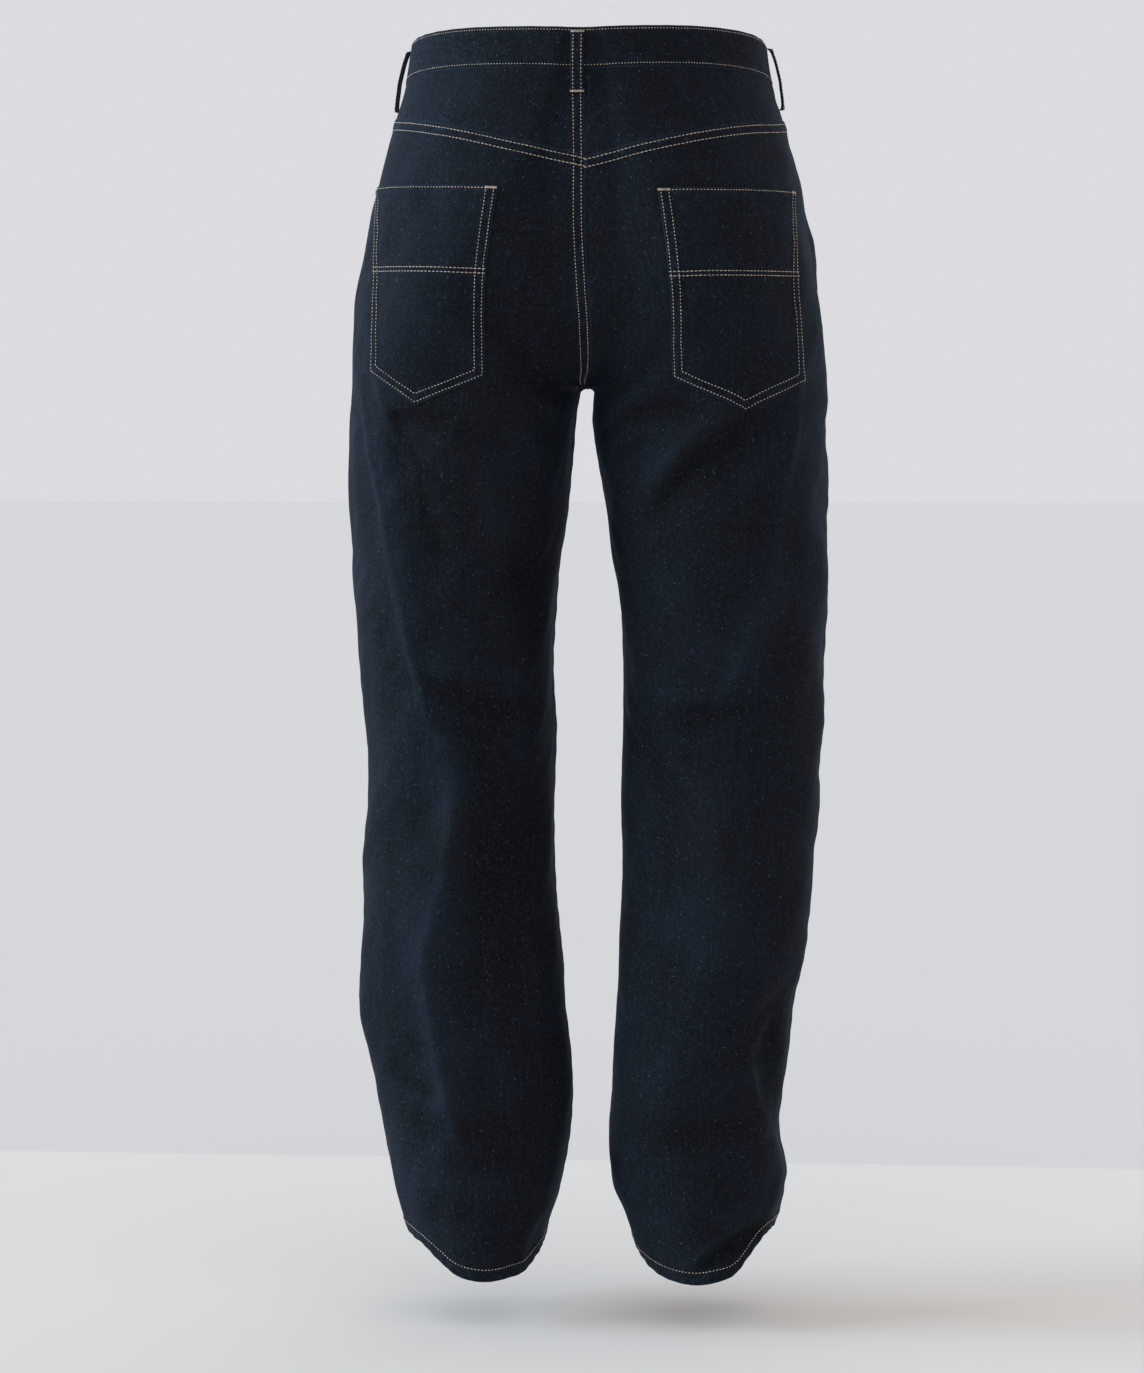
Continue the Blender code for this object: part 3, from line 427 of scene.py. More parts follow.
# Belt loops
LOOP_WIDTH = 11.4
LOOP_WALL = 2.1
LOOP_ABOVE = 3.0
LOOP_BELOW = 20.5
LOOP_BOW = 5.5
LOOP_SQUARE = 0.45
LOOP_STAND = 0.45
LOOP_EASE = 1.2
LOOP_ROWS = 44
LOOP_COLUMNS = 12
LOOP_TURN = 0.7
LOOP_TURN_REACH = 4.5
LOOP_STITCHING = (-3.4, 3.4)
LOOP_TACKS = (2.2, 2.4)
LOOP_TACK_POINTS = 14
LOOPS = (
    ("loop_back", 1, 1, 1.0),
    ("loop_side_left", 1, 1, 0.03),
    ("loop_side_right", -1, 1, 0.03),
    ("loop_front_left", 1, -1, 0.64),
    ("loop_front_right", -1, -1, 0.64),
)

# Band ends at centre front
LAP_REACH = 0.14
LAP_STEPS = 14
LAP_START = 46.0
LAP_FULL = 6.0
LAP_CLEAR = 2.8
BAND_COLUMNS = 130
BAND_ROWS = 18

# Waist button
BUTTON_RADIUS = 8.5
BUTTON_HEIGHT = 3.2
BUTTON_PLACE = 8.0
BUTTON_TURNS = 64
# Shares of the button's radius and height round its rim
BUTTON_PROFILE = (
    (0.0, 0.0), (0.7, 0.0), (0.7, 0.34), (0.93, 0.38), (1.0, 0.5), (1.0, 0.66), (0.96, 0.78),
    (0.88, 0.82), (0.82, 0.72), (0.76, 0.7), (0.7, 0.78), (0.6, 0.9), (0.42, 0.97), (0.2, 1.0),
    (0.0, 1.0),
)

# Stitch styles: stitch length, thread length, thread width, thread height, turn across the row
STITCHES = {
    "topstitch": (3.0, 2.05, 0.84, 0.64, 0.0),
    "bandstitch": (2.6, 1.5, 0.8, 0.6, 0.0),
    "seamstitch": (3.5, 3.25, 0.8, 0.62, 0.0),
    "bartack": (0.62, 2.6, 0.6, 0.6, 90.0),
}
STITCH_SEED = 7
STITCH_LIFT = 0.12
STITCH_INPUTS = ("Stitch Length", "Thread Length", "Thread Width", "Thread Height", "Turn")
STITCH_LEAN = math.radians(6)
STITCH_LEAST = (0.86, 0.88, 0.85)
STITCH_MOST = (1.06, 1.12, 1.15)

# Camera: place and aim in the frame, lens, and the long side of its film
CAMERA_PLACE = (-0.2820, 3.3883, -0.315)
CAMERA_YAW = 5.0
CAMERA_TILT = 3.719
LENS = 102.26
FILM = 36.0
FLOOR = -1.085
FLOOR_LINE = -0.69
FLOOR_SIZE = 80.0

# Key light: turn from the camera towards the wearer's left, height, strength, softness
KEY_TURN = 88.0
KEY_RISE = 15.0
KEY_POWER = 4.3
KEY_SPREAD = 44.0

# Millimetres between the drawn lines of the twill
TWILL_STEP = 3.0368

# Colours as sRGB hex
INDIGO_DARK = "#050609"
INDIGO_LIGHT = "#131a24"
# Paler blue of seam puckers and seam edges: wear and painted highlight
INDIGO_WORN_AND_HIGHLIGHT = "#222d3b"
# Smoke black: random dark clouds of the cloth, and also the painted shade in the fold hollows
SMOKE_BLACK_AND_SHADE = "#0b0a0b"
HAIR_BLUE = "#313f4d"
SHEEN_BLUE = "#6f93c4"
NEP = "#66707a"
WEFT = "#7d848f"
WEFT_DARK = "#2c333e"
ECRU = "#cdb8a3"
ECRU_DARK = "#8e7b6a"
BRASS_LIGHT = "#a98352"
BRASS_DARK = "#4a3826"
FLOOR_NEAR = "#e8e0d6"
FLOOR_FAR = "#e0d8d1"
ROOM_PALE = "#dcdce0"
KEY_COOL = "#c3e3ff"


def linear(code):
    """Linear colour of an sRGB hex code."""
    parts = [int(code[i:i + 2], 16) / 255 for i in (1, 3, 5)]
    return [p / 12.92 if p <= 0.04045 else ((p + 0.055) / 1.055) ** 2.4 for p in parts] + [1.0]


def track(table, column, heights):
    """Smooth value of one table column at the given heights."""
    rows = np.array(table)[::-1]
    z = rows[:, 0]
    value = rows[:, column]
    slope = np.gradient(value, z)
    h = np.clip(heights, z[0], z[-1])
    i = np.clip(np.searchsorted(z, h) - 1, 0, len(z) - 2)
    step = z[i + 1] - z[i]
    t = (h - z[i]) / step
    start = (1 + 2 * t) * (1 - t) ** 2 * value[i] + t * (1 - t) ** 2 * step * slope[i]
    end = t * t * (3 - 2 * t) * value[i + 1] + t * t * (t - 1) * step * slope[i + 1]
    return start + end


def blend_max(a, b, width):
    """The larger of two values with a rounded change-over."""
    near = np.maximum(width - np.abs(a - b), 0.0)
    return np.maximum(a, b) + near * near / (4.0 * np.maximum(width, 1e-6))


def smooth_step(value, low, high):
    """Soft ramp from 0 at low to 1 at high."""
    t = np.clip((value - low) / (high - low), 0.0, 1.0)
    return t * t * (3.0 - 2.0 * t)


def edged(count, gather):
    """Fractions 0 to 1 that gather towards both ends."""
    t = np.linspace(0.0, 1.0, count + 1)
    return t - gather * np.sin(2.0 * math.pi * t) / (2.0 * math.pi)


def unit(vectors):
    """Vectors made one long."""
    size = np.linalg.norm(vectors, axis=-1, keepdims=True)
    return vectors / np.maximum(size, 1e-9)


def seat_curve(heights, rise):
    """How far the seat seam has come back from the crotch point, 0 to 1."""
    t = np.clip((heights - CROTCH) / rise, 0.0, 1.0)
    return np.sqrt(t * (2.0 - t))


def outline(leg, heights, turns):
    """Points x, y of one half of the garment, one row of turns for each height."""
    z = heights[:, None]
    torso = z > CROTCH + NEAR
    half = np.where(torso, track(TORSO, HALF_WIDTH, z), 0.0)
    middle = np.where(torso, track(TORSO, SIDE_MIDDLE, z), track(leg, LEG_CENTRE, z))
    axis = np.where(torso, track(TORSO, AXIS, z), track(leg, LEG_AXIS, z))
    leg_half = track(leg, LEG_HALF, z)
    radius = track(leg, LEG_GIRTH, z) / (2.0 * math.pi)
    leg_deep = np.sqrt(2.0 * radius ** 2 - leg_half ** 2)
    out_half = np.where(torso, half - middle, leg_half)
    drop = np.clip((CROTCH - z) / CROTCH_ROUND, 0.0, 1.0)
    inner = SEAM_GAP / 2 + (middle - leg_half - SEAM_GAP / 2) * np.sqrt(drop * (2.0 - drop))
    in_half = middle - np.where(torso, 0.0, inner)
    deep_back = np.where(torso, track(TORSO, BACK, z) - axis, leg_deep)
    deep_front = np.where(torso, track(TORSO, FRONT, z) + axis, leg_deep)
    cos = np.cos(turns)
    sin = np.sin(turns)
    power = 2.0 / ROUNDNESS
    x = middle + np.where(cos > 0, out_half, in_half) * np.sign(cos) * np.abs(cos) ** power
    y = np.where(sin > 0, deep_back, deep_front) * np.sign(sin) * np.abs(sin) ** power
    cleft = track(TORSO, CLEFT, z)
    level_back = (deep_back - cleft) * seat_curve(z, SEAT_RISE_BACK)
    level_front = (deep_front - FRONT_DIP) * seat_curve(z, SEAT_RISE_FRONT)
    soft = track(TORSO, BLEND, z)
    soft_back = np.minimum(soft, BLEND_SHARE * level_back)
    soft_front = np.minimum(soft, BLEND_SHARE * level_front)
    filled_back = blend_max(y, level_back, soft_back)
    filled_front = -blend_max(-y, level_front, soft_front)
    inside = torso & (cos < 0)
    crest_back = blend_max(deep_back, level_back, soft_back) - deep_back
    crest_front = blend_max(deep_front, level_front, soft_front) - deep_front
    crest = np.where(sin >= 0, crest_back, -crest_front) * np.exp(-(cos / CREST_FADE) ** 2)
    y = np.where(torso & (cos >= 0), y + crest, y)
    y = np.where(inside & (sin >= 0), filled_back, y)
    y = np.where(inside & (sin < 0), filled_front, y)
    return x, y + axis


def strip(leg, heights, reaches, face):
    """Points of a back (+1) or front (-1) panel, reach 0 at the outseam to 1 at the inner seam."""
    rows, columns = heights.shape
    found = np.zeros((rows, columns, 3))
    steps = np.linspace(0.0, 1.0, OUTLINE_STEPS)[None, :]
    for start in range(0, rows, CHUNK):
        flat = heights[start:start + CHUNK].reshape(-1)
        ease = np.clip((CROTCH - flat) / INSEAM_EASE, 0.0, 1.0)[:, None]
        inner = math.pi + face * INSEAM_TURN * ease
        turns = -OUTSEAM_TURN + (face * inner + OUTSEAM_TURN) * steps
        x, y = outline(leg, flat, turns)
        lengths = np.hypot(np.diff(x, axis=1), np.diff(y, axis=1))
        run = np.concatenate([np.zeros((len(flat), 1)), np.cumsum(lengths, axis=1)], axis=1)
        part = np.zeros((len(flat), 3))
        targets = np.tile(reaches, len(flat) // columns)
        for i, reach in enumerate(targets):
            crest = np.interp(math.pi / 2, face * turns[i], run[i])
            level = crest + np.interp(crest, run[i], x[i])
            spare = run[i, -1] - SEAM_GAP - level
            place = SEAM_GAP / 2 + level * reach + spare * reach ** SEAT_SPREAD
            part[i] = (np.interp(place, run[i], x[i]), np.interp(place, run[i], y[i]), flat[i])
        found[start:start + CHUNK] = part.reshape(-1, columns, 3)
    return found


def edge_height(table, reaches, face):
    """Height of a waist or hem edge along a back (+1) or front (-1) panel."""
    return track(table, 1 if face > 0 else 2, reaches)


def seam_heights(face):
    """Heights at the inner seam of the lines that fan out from the seat curve and crotch."""
    rise = SEAT_RISE_BACK if face > 0 else SEAT_RISE_FRONT
    turn = np.linspace(0.0, math.pi / 2, SEAT_LINES + 1)
    seat = CROTCH + rise * (1.0 - np.sin(turn))
    turn = np.linspace(0.0, math.pi / 2, ROUND_LINES + 1)[1:]
    under = CROTCH - CROTCH_ROUND * (1.0 - np.cos(turn))
    lower = CROTCH - CROTCH_ROUND - INSEAM_EASE * np.linspace(0.0, 1.0, THIGH_LINES + 1)[1:] ** 1.4
    return np.concatenate([seat, under, lower])


def line_heights(reaches, face, side):
    """Heights of every line of a half panel, from the waist seam to the hem."""
    hem_table = HEM_LEFT if side > 0 else HEM_RIGHT
    column = YOKE_LEFT if side > 0 else YOKE_RIGHT
    waist = edge_height(WAIST, reaches, face) - BAND_HEIGHT + TUCK
    yoke = track(YOKE_SEAM, column, reaches * (face > 0))
    hem = HEEL + edge_height(hem_table, reaches, face)
    inner = seam_heights(face)
    outer = np.linspace(SEAT_SIDE, THIGH_SIDE, len(inner))
    fan = [o + (i - o) * reaches ** FAN_SPREAD for o, i in zip(outer, inner)]
    level = np.full_like(reaches, LEG_LOW)
    fold = hem + HEM_DEPTH
    lines = [waist + (yoke - waist) * t for t in edged(YOKE_LINES, GATHER)]
    lines += [yoke + (fan[0] - yoke) * t ** 1.5 for t in np.linspace(0, 1, UPPER_LINES + 1)[1:-1]]
    lines += fan
    lines += [fan[-1] + (level - fan[-1]) * k / LEG_LINES for k in range(1, LEG_LINES + 1)]
    lines += [level + (fold - level) * k / HEM_LINES for k in range(1, HEM_LINES + 1)]
    lines += [fold + (hem - fold) * t for t in edged(FOLD_LINES, 0.5)[1:]]
    return np.array(lines)


def bend(fold, steps):
    """Points x, z along one bent fold line."""
    x0, z0, x1, z1, x2, z2 = fold[2:8]
    t = np.linspace(0.0, 1.0, steps)
    x = (1 - t) ** 2 * x0 + 2 * t * (1 - t) * x1 + t * t * x2
    z = (1 - t) ** 2 * z0 + 2 * t * (1 - t) * z1 + t * t * z2
    return np.stack([x, z], axis=1)


def fold_height(folds, side, points, normals):
    """How far the folds move each point out of the plain form."""
    total = np.zeros(points.shape[:2])
    flat = points[..., [0, 2]]
    for fold in folds:
        if fold[0] != side:
            continue
        half_width, height = fold[8], fold[9]
        path = bend(fold, FOLD_STEPS)
        low = path.min(axis=0) - 3 * half_width
        high = path.max(axis=0) + 3 * half_width
        close = np.all((flat > low) & (flat < high), axis=-1)
        close &= normals[..., 1] * fold[1] > 0
        spots = flat[close]
        nearest = np.full(len(spots), np.inf)
        share = np.zeros(len(spots))
        for k in range(FOLD_STEPS - 1):
            a = path[k]
            ab = path[k + 1] - a
            t = np.clip(((spots - a) @ ab) / (ab @ ab), 0.0, 1.0)
            gap = np.linalg.norm(spots - a - t[..., None] * ab, axis=-1)
            closer = gap < nearest
            nearest = np.where(closer, gap, nearest)
            share = np.where(closer, (k + t) / (FOLD_STEPS - 1), share)
        facing = np.clip(normals[close][:, 1] * fold[1] * FOLD_TURN, 0.0, 1.0)
        taper = np.sqrt(np.sin(math.pi * np.clip(share, FOLD_END, 1.0 - FOLD_END)))
        total[close] += height * taper * facing * np.exp(-(nearest / half_width) ** 2)
    return total


def out_normals(points, split):
    """Outward direction at each point of a half garment grid, seam ends matched."""
    mirrored = points * np.array([-1.0, 1.0, 1.0])
    legs = points[:, 0, 2] <= CROTCH + NEAR
    before = np.where(legs[:, None], points[:, -2], mirrored[:, 1])
    after = np.where(legs[:, None], points[:, 1], mirrored[:, -2])
    wide = np.concatenate([before[:, None], points, after[:, None]], axis=1)
    along = wide[:, 2:] - wide[:, :-2]
    down = np.gradient(points, axis=0)
    normals = unit(np.cross(unit(along), unit(down)))
    normals[~legs, 0, 0] = 0.0
    normals[~legs, -1, 0] = 0.0
    ends = unit(normals[:, 0] + normals[:, -1])
    normals[legs, 0] = ends[legs]
    normals[legs, -1] = ends[legs]
    seam = slice(split - 1, split + 1)
    normals[:, seam] = normals[:, seam].sum(axis=1, keepdims=True)
    return unit(normals)


def run_along(points, axis):
    """Length along the grid from its first line or column."""
    steps = np.linalg.norm(np.diff(points, axis=axis), axis=-1)
    zero = np.zeros_like(np.take(steps, [0], axis=axis))
    return np.concatenate([zero, np.cumsum(steps, axis=axis)], axis=axis)


def rumple(across, down, side):
    """Soft unevenness of worn cloth over lengths across and down a panel."""
    draw = np.random.default_rng(RUMPLE_SEED + side)
    total = np.zeros_like(across)
    for length, height in RUMPLE:
        for _ in range(RUMPLE_WAVES):
            turn = draw.uniform(0.0, math.pi)
            size = length * draw.uniform(0.8, 1.35)
            phase = draw.uniform(0.0, 2 * math.pi)
            travel = across * math.cos(turn) * 1.25 + down * math.sin(turn) * 0.8
            total += height * np.sin(travel * 2 * math.pi / size + phase) / RUMPLE_WAVES ** 0.5
    return total


def strayed(points):
    """The points with the centre back seam moved off the middle as it was sewn."""
    shift = track(SEAT_STRAY, 1, points[..., 2])
    near = np.exp(-(points[..., 0] / STRAY_REACH) ** 2)
    back = smooth_step(points[..., 1], 0.0, STRAY_DEPTH)
    moved = points.copy()
    moved[..., 0] += shift * near * back
    return moved


def half_garment(side):
    """Grid of points and outward directions of one half, back seam round to front seam."""
    leg = LEG_LEFT if side > 0 else LEG_RIGHT
    back_reaches = edged(BACK_COLUMNS, GATHER)
    front_reaches = edged(FRONT_COLUMNS, GATHER)
    back = strip(leg, line_heights(back_reaches, 1, side), back_reaches, 1)
    front = strip(leg, line_heights(front_reaches, -1, side), front_reaches, -1)
    points = np.concatenate([back[:, ::-1], front], axis=1)
    split = BACK_COLUMNS + 1
    normals = out_normals(points, split)
    across = run_along(points, 1)
    down = run_along(points, 0)
    quiet = smooth_step(down, 0.0, 140.0) * smooth_step(np.abs(points[..., 0]), 2.0, 30.0)
    quiet *= smooth_step(np.minimum(across, across[:, -1:] - across), -10.0, 45.0)
    folded = fold_height(FOLDS, side, points, normals)
    creased = fold_height(CREASES, side, points, normals)
    rise = folded + creased + rumple(across, down, side) * (0.35 + 0.65 * quiet)
    # Colour mark from fold height: paler crests are wear and painted highlight, darker hollows are
    # painted shade
    fold_wear_and_shade = FOLD_WEAR_AND_SHADE * folded + CREASE_WEAR_AND_SHADE * creased
    points = points + normals * rise[..., None]
    normals = out_normals(points, split)
    mirror = np.array([side, 1.0, 1.0])
    return strayed(points * mirror), normals * mirror, fold_wear_and_shade


def grid_normals(points, row, column):
    """Directions square to an open grid, turned to the back at the given spot."""
    along = np.gradient(points, axis=1)
    down = np.gradient(points, axis=0)
    normals = unit(np.cross(unit(along), unit(down)))
    return normals if normals[row, column, 1] > 0 else -normals


def quads_of(shape):
    """Corner numbers of the squares of a grid."""
    grid = np.arange(shape[0] * shape[1]).reshape(shape)
    corners = [grid[:-1, :-1], grid[1:, :-1], grid[1:, 1:], grid[:-1, 1:]]
    return np.stack(corners, axis=-1).reshape(-1, 4)


def roll(gap, height=EDGE_ROLL, reach=EDGE_REACH):
    """Rounding that fades away from an edge."""
    return height * np.exp(-(gap / reach) ** 2)


def doubled(gap, rise, low, high):
    """Rise of cloth turned under itself, ending softly between two distances from the edge."""
    return rise * (1.0 - smooth_step(gap, low, high))


def lap_edge(gap):
    """Height of a lapped, folded edge over the panel that it is sewn to."""
    return doubled(gap, LAP_RISE, LAP_WIDTH - LAP_SOFT, LAP_WIDTH) - roll(gap)


def pressed_seam(gap):
    """Ridge of a seam over its allowances, with the ditch of the seam itself."""
    return roll(gap, RIDGE_RISE, RIDGE_REACH) - roll(gap, DITCH)


def pucker(run, gap):
    """Small waves that stitching pulls into a seam."""
    wave = np.sin(run * 2 * math.pi / PUCKER_LENGTH + PUCKER_DRIFT * np.sin(run / PUCKER_SLOW))
    return wave * roll(gap, PUCKER_RISE, LAP_WIDTH)


def hem_height(across, above):
    """Turned hem: thicker, round at its edge and pulled into waves by its stitching."""
    turned = doubled(above, HEM_RISE, HEM_DEPTH - HEM_SOFT, HEM_DEPTH)
    return turned + HEM_PUCKER * pucker(across * HEM_SLANT + above, above) - roll(above)


def sewing(*seams):
    """Nearness to the nearest seam, and the length along it, from gaps and lengths."""
    best = np.zeros_like(seams[0][0])
    run = seams[0][1]
    for gap, along in seams:
        near = np.clip(1.0 - gap / SEWN_REACH, 0.0, 1.0)
        run = np.where(near > best, along, run)
        best = np.maximum(near, best)
    return {"seam": best, "run": run}


class Panel:
    """One piece of cloth: its grid, outward directions and raised surface."""

    def __init__(self, points, normals, height):
        self.points = points
        self.normals = normals
        self.surface = points + normals * height[..., None]

    def at(self, row, column):
        """Points and directions at fractional rows and columns."""
        rows, columns = self.points.shape[:2]
        row = np.clip(row, 0, rows - 1.001)
        column = np.clip(column, 0, columns - 1.001)
        i = row.astype(int)
        j = column.astype(int)
        s = (row - i)[:, None]
        t = (column - j)[:, None]
        found = []
        for grid in (self.surface, self.normals):
            top = grid[i, j] * (1 - t) + grid[i, j + 1] * t
            low = grid[i + 1, j] * (1 - t) + grid[i + 1, j + 1] * t
            found.append(top * (1 - s) + low * s)
        return found[0], unit(found[1])


def crossing(line, value):
    """Fractional place in a line of rising or falling numbers where it passes a value."""
    places = np.arange(len(line))
    if line[-1] < line[0]:
        return np.interp(-value, -line, places)
    return np.interp(value, line, places)


def level_row(panel, field, value, first, last):
    """Stitch path down a panel where a field that changes across it has one value."""
    rows = np.arange(first, last)
    columns = np.array([crossing(field[i], value) for i in rows])
    return panel.at(rows.astype(float), columns)


def level_column(panel, field, value, first, last):
    """Stitch path across a panel where a field that changes down it has one value."""
    columns = np.arange(first, last)
    rows = np.array([crossing(field[:, j], value) for j in columns])
    return panel.at(rows, columns.astype(float))


def placed(name, data):
    """Object of some data, linked to the scene."""
    made = bpy.data.objects.new(name, data)
    bpy.context.collection.objects.link(made)
    return made


def finished(name, verts, faces, inside, uv, marks, materials, outward):
    """Object of a closed piece of cloth, faces out, with its lengths in millimetres as its UV map."""
    mesh = bpy.data.meshes.new(name)
    mesh.from_pydata((verts * MM).tolist(), [], faces)
    ring = faces[len(faces) // 8]
    a, b, c = (verts[k] for k in ring[:3])
    if np.dot(np.cross(b - a, c - a), outward[ring[0]]) < 0:
        mesh.flip_normals()
    mesh.polygons.foreach_set("material_index", inside)
    mesh.polygons.foreach_set("use_smooth", [True] * len(faces))
    index = np.zeros(len(mesh.loops), dtype=np.int32)
    mesh.loops.foreach_get("vertex_index", index)
    lengths = np.tile(uv, (2, 1))[index].astype(np.float32).reshape(-1)
    mesh.uv_layers.new(name="cloth").data.foreach_set("uv", lengths)
    for key, values in marks.items():
        kept = mesh.attributes.new(key, "FLOAT", "POINT")
        kept.data.foreach_set("value", np.tile(values, 2).astype(np.float32))
    for finish in materials:
        mesh.materials.append(finish)
    mesh.update()
    return placed(name, mesh)


def shell(name, panel, under, uv, marks, materials):
    """Closed cloth piece between the surface of a panel and the grid under it."""
    shape = under.shape[:2]
    count = shape[0] * shape[1]
    quads = quads_of(shape)
    grid = np.arange(count).reshape(shape)
    rim = np.concatenate([grid[0], grid[1:, -1], grid[-1, -2::-1], grid[-2:0:-1, 0]])
    after = np.roll(rim, -1)
    sides = np.stack([rim, rim + count, after + count, after], axis=-1)
    faces = np.concatenate([quads, quads[:, ::-1] + count, sides]).tolist()
    inside = [0] * len(quads) + [len(materials) - 1] * len(quads) + [0] * len(sides)
    verts = np.concatenate([panel.surface.reshape(-1, 3), under.reshape(-1, 3)])
    marks = {key: values.reshape(-1) for key, values in marks.items()}
    facing = panel.normals.reshape(-1, 3)
    return finished(name, verts, faces, inside, uv.reshape(-1, 2), marks, materials, facing)


def cut_shell(name, panel, wall, uv, marks, mouth):
    """Closed cloth piece over a grid without the part inside the pocket mouth."""
    fields = [panel.surface, panel.normals, wall[..., None], uv]
    fields += [values[..., None] for values in marks.values()]
    flat = np.concatenate(fields, axis=-1).reshape(mouth.size, -1)
    signs = np.where(np.abs(mouth) < MOUTH_SNAP, 0.0, mouth).reshape(-1)
    quads = quads_of(mouth.shape)
    outside = np.any(signs[quads] > 0, axis=1)
    crossed = np.any(signs[quads] < 0, axis=1)
    rings = quads[outside & ~crossed].tolist()
    entries = list(flat)
    on_edge = {}
    for ring in quads[outside & crossed].tolist():
        kept = []
        for here, there in zip(ring, ring[1:] + ring[:1]):
            if signs[here] >= 0:
                kept.append(here)
            if signs[here] * signs[there] < 0:
                low, high = sorted((here, there))
                if (low, high) not in on_edge:
                    t = signs[low] / (signs[low] - signs[high])
                    on_edge[low, high] = len(entries)
                    entries.append(flat[low] + (flat[high] - flat[low]) * t)
                kept.append(on_edge[low, high])
        if len(kept) > 2:
            rings.append(kept)
    used = np.unique(np.concatenate(rings))
    order = np.full(len(entries), -1)
    order[used] = np.arange(len(used))
    table = np.array(entries)[used]
    rings = [order[ring].tolist() for ring in rings]
    pairs = set()
    for ring in rings:
        pairs.update(zip(ring, ring[1:] + ring[:1]))
    count = len(table)
    rim = [(b, a, a + count, b + count) for a, b in pairs if (b, a) not in pairs]
    under = [[k + count for k in ring[::-1]] for ring in rings]
    directions = unit(table[:, 3:6])
    verts = np.concatenate([table[:, :3], table[:, :3] - directions * table[:, 6:7]])
    inside = [0] * len(rings) + [1] * len(under) + [0] * len(rim)
    marks = dict(zip(marks, table[:, 9:].T))
    faces = rings + under + rim
    return finished(name, verts, faces, inside, table[:, 7:9], marks, CLOTH_SIDES, directions)


def add_node(tree, kind, inputs=None, output=0, **settings):
    """Output of a new node with its settings, and each input set to a value or linked to a socket."""
    made = tree.nodes.new(kind)
    for key, value in settings.items():
        setattr(made, key, value)
    for key, value in (inputs or {}).items():
        if hasattr(value, "links"):
            tree.links.new(value, made.inputs[key])
        else:
            made.inputs[key].default_value = value
    return made.outputs[output] if len(made.outputs) else None


def layered(tree, operation, layers):
    """Patterns joined by arithmetic, each going from nothing at low to its share at high."""
    total = None
    for source, low, high, share in layers:
        part = add_node(tree, "ShaderNodeMapRange", {0: source, 1: low, 2: high, 4: share})
        if total:
            part = add_node(tree, "ShaderNodeMath", {0: total, 1: part}, operation=operation)
        total = part
    return total


def dyed(tree, base, layers):
    """Colour with others over it, each strongest where its pattern comes to high."""
    colour = linear(base)
    for source, low, high, share, ink in layers:
        part = layered(tree, "ADD", [(source, low, high, share)])
        inputs = {0: part, 6: colour, 7: linear(ink)}
        colour = add_node(tree, "ShaderNodeMix", inputs, 2, data_type="RGBA")
    return colour


def woven(tree, size_across, size_down, turn=0):
    """Cloth lengths turned and divided by a pattern's size in millimetres."""
    cloth = add_node(tree, "ShaderNodeUVMap", uv_map="cloth")
    inputs = {"Vector": cloth, "Angle": math.radians(turn)}
    turned = add_node(tree, "ShaderNodeVectorRotate", inputs, rotation_type="Z_AXIS")
    inputs = {0: turned, 1: (1 / size_across, 1 / size_down, 1)}
    return add_node(tree, "ShaderNodeVectorMath", inputs, operation="MULTIPLY")


def grain(tree, size_across, size_down, detail=2, turn=0, rough=0.5):
    """Noise with a real size across and down the cloth."""
    place = woven(tree, size_across, size_down, turn)
    inputs = {"Vector": place, "Scale": 1, "Detail": detail, "Roughness": rough}
    return add_node(tree, "ShaderNodeTexNoise", inputs, noise_dimensions="2D")


def lint(tree, size, turn):
    """Curled stray fibres: short pieces of the level lines of a soft noise."""
    field = grain(tree, size, size * 1.3, 0, turn)
    off = add_node(tree, "ShaderNodeMath", {0: field, 1: 0.5}, operation="SUBTRACT")
    off = add_node(tree, "ShaderNodeMath", {0: off}, operation="ABSOLUTE")
    pieces = grain(tree, size * 0.7, size * 0.7, 1, turn + 35)
    return layered(tree, "MULTIPLY", [(off, 0.022, 0.006, 1), (pieces, 0.52, 0.62, 1)])


def twill(tree, turn, wave):
    """Diagonal lines of the weave, about 1.3 mm apart and drawn at 3 mm so that they show.

    The wave node repeats 20 times in a length of tau.
    """
    inputs = {"Vector": woven(tree, 1, 1, turn), "Scale": math.tau / 20 / TWILL_STEP, **wave}
    return add_node(tree, "ShaderNodeTexWave", inputs, 1, wave_type="BANDS")


def gathering(tree):
    """Cross waves that sewing pulls into the cloth, and nearness to the sewing."""
    seam = add_node(tree, "ShaderNodeAttribute", output=2, attribute_name="seam")
    run = add_node(tree, "ShaderNodeAttribute", output=2, attribute_name="run")
    place = add_node(tree, "ShaderNodeCombineXYZ", {0: run, 1: seam})
    sized = {0: place, 1: (0.16, 2.2, 1)}
    place = add_node(tree, "ShaderNodeVectorMath", sized, operation="MULTIPLY")
    inputs = {"Vector": place, "Scale": 1, "Detail": 1.5}
    return add_node(tree, "ShaderNodeTexNoise", inputs, noise_dimensions="2D"), seam


def finish(name, recipe):
    """Node material whose shader has the inputs that a recipe gives."""
    made = bpy.data.materials.new(name)
    made.use_nodes = True
    tree = made.node_tree
    tree.nodes.clear()
    shader = add_node(tree, "ShaderNodeBsdfPrincipled", recipe(tree))
    add_node(tree, "ShaderNodeOutputMaterial", {"Surface": shader})
    return made


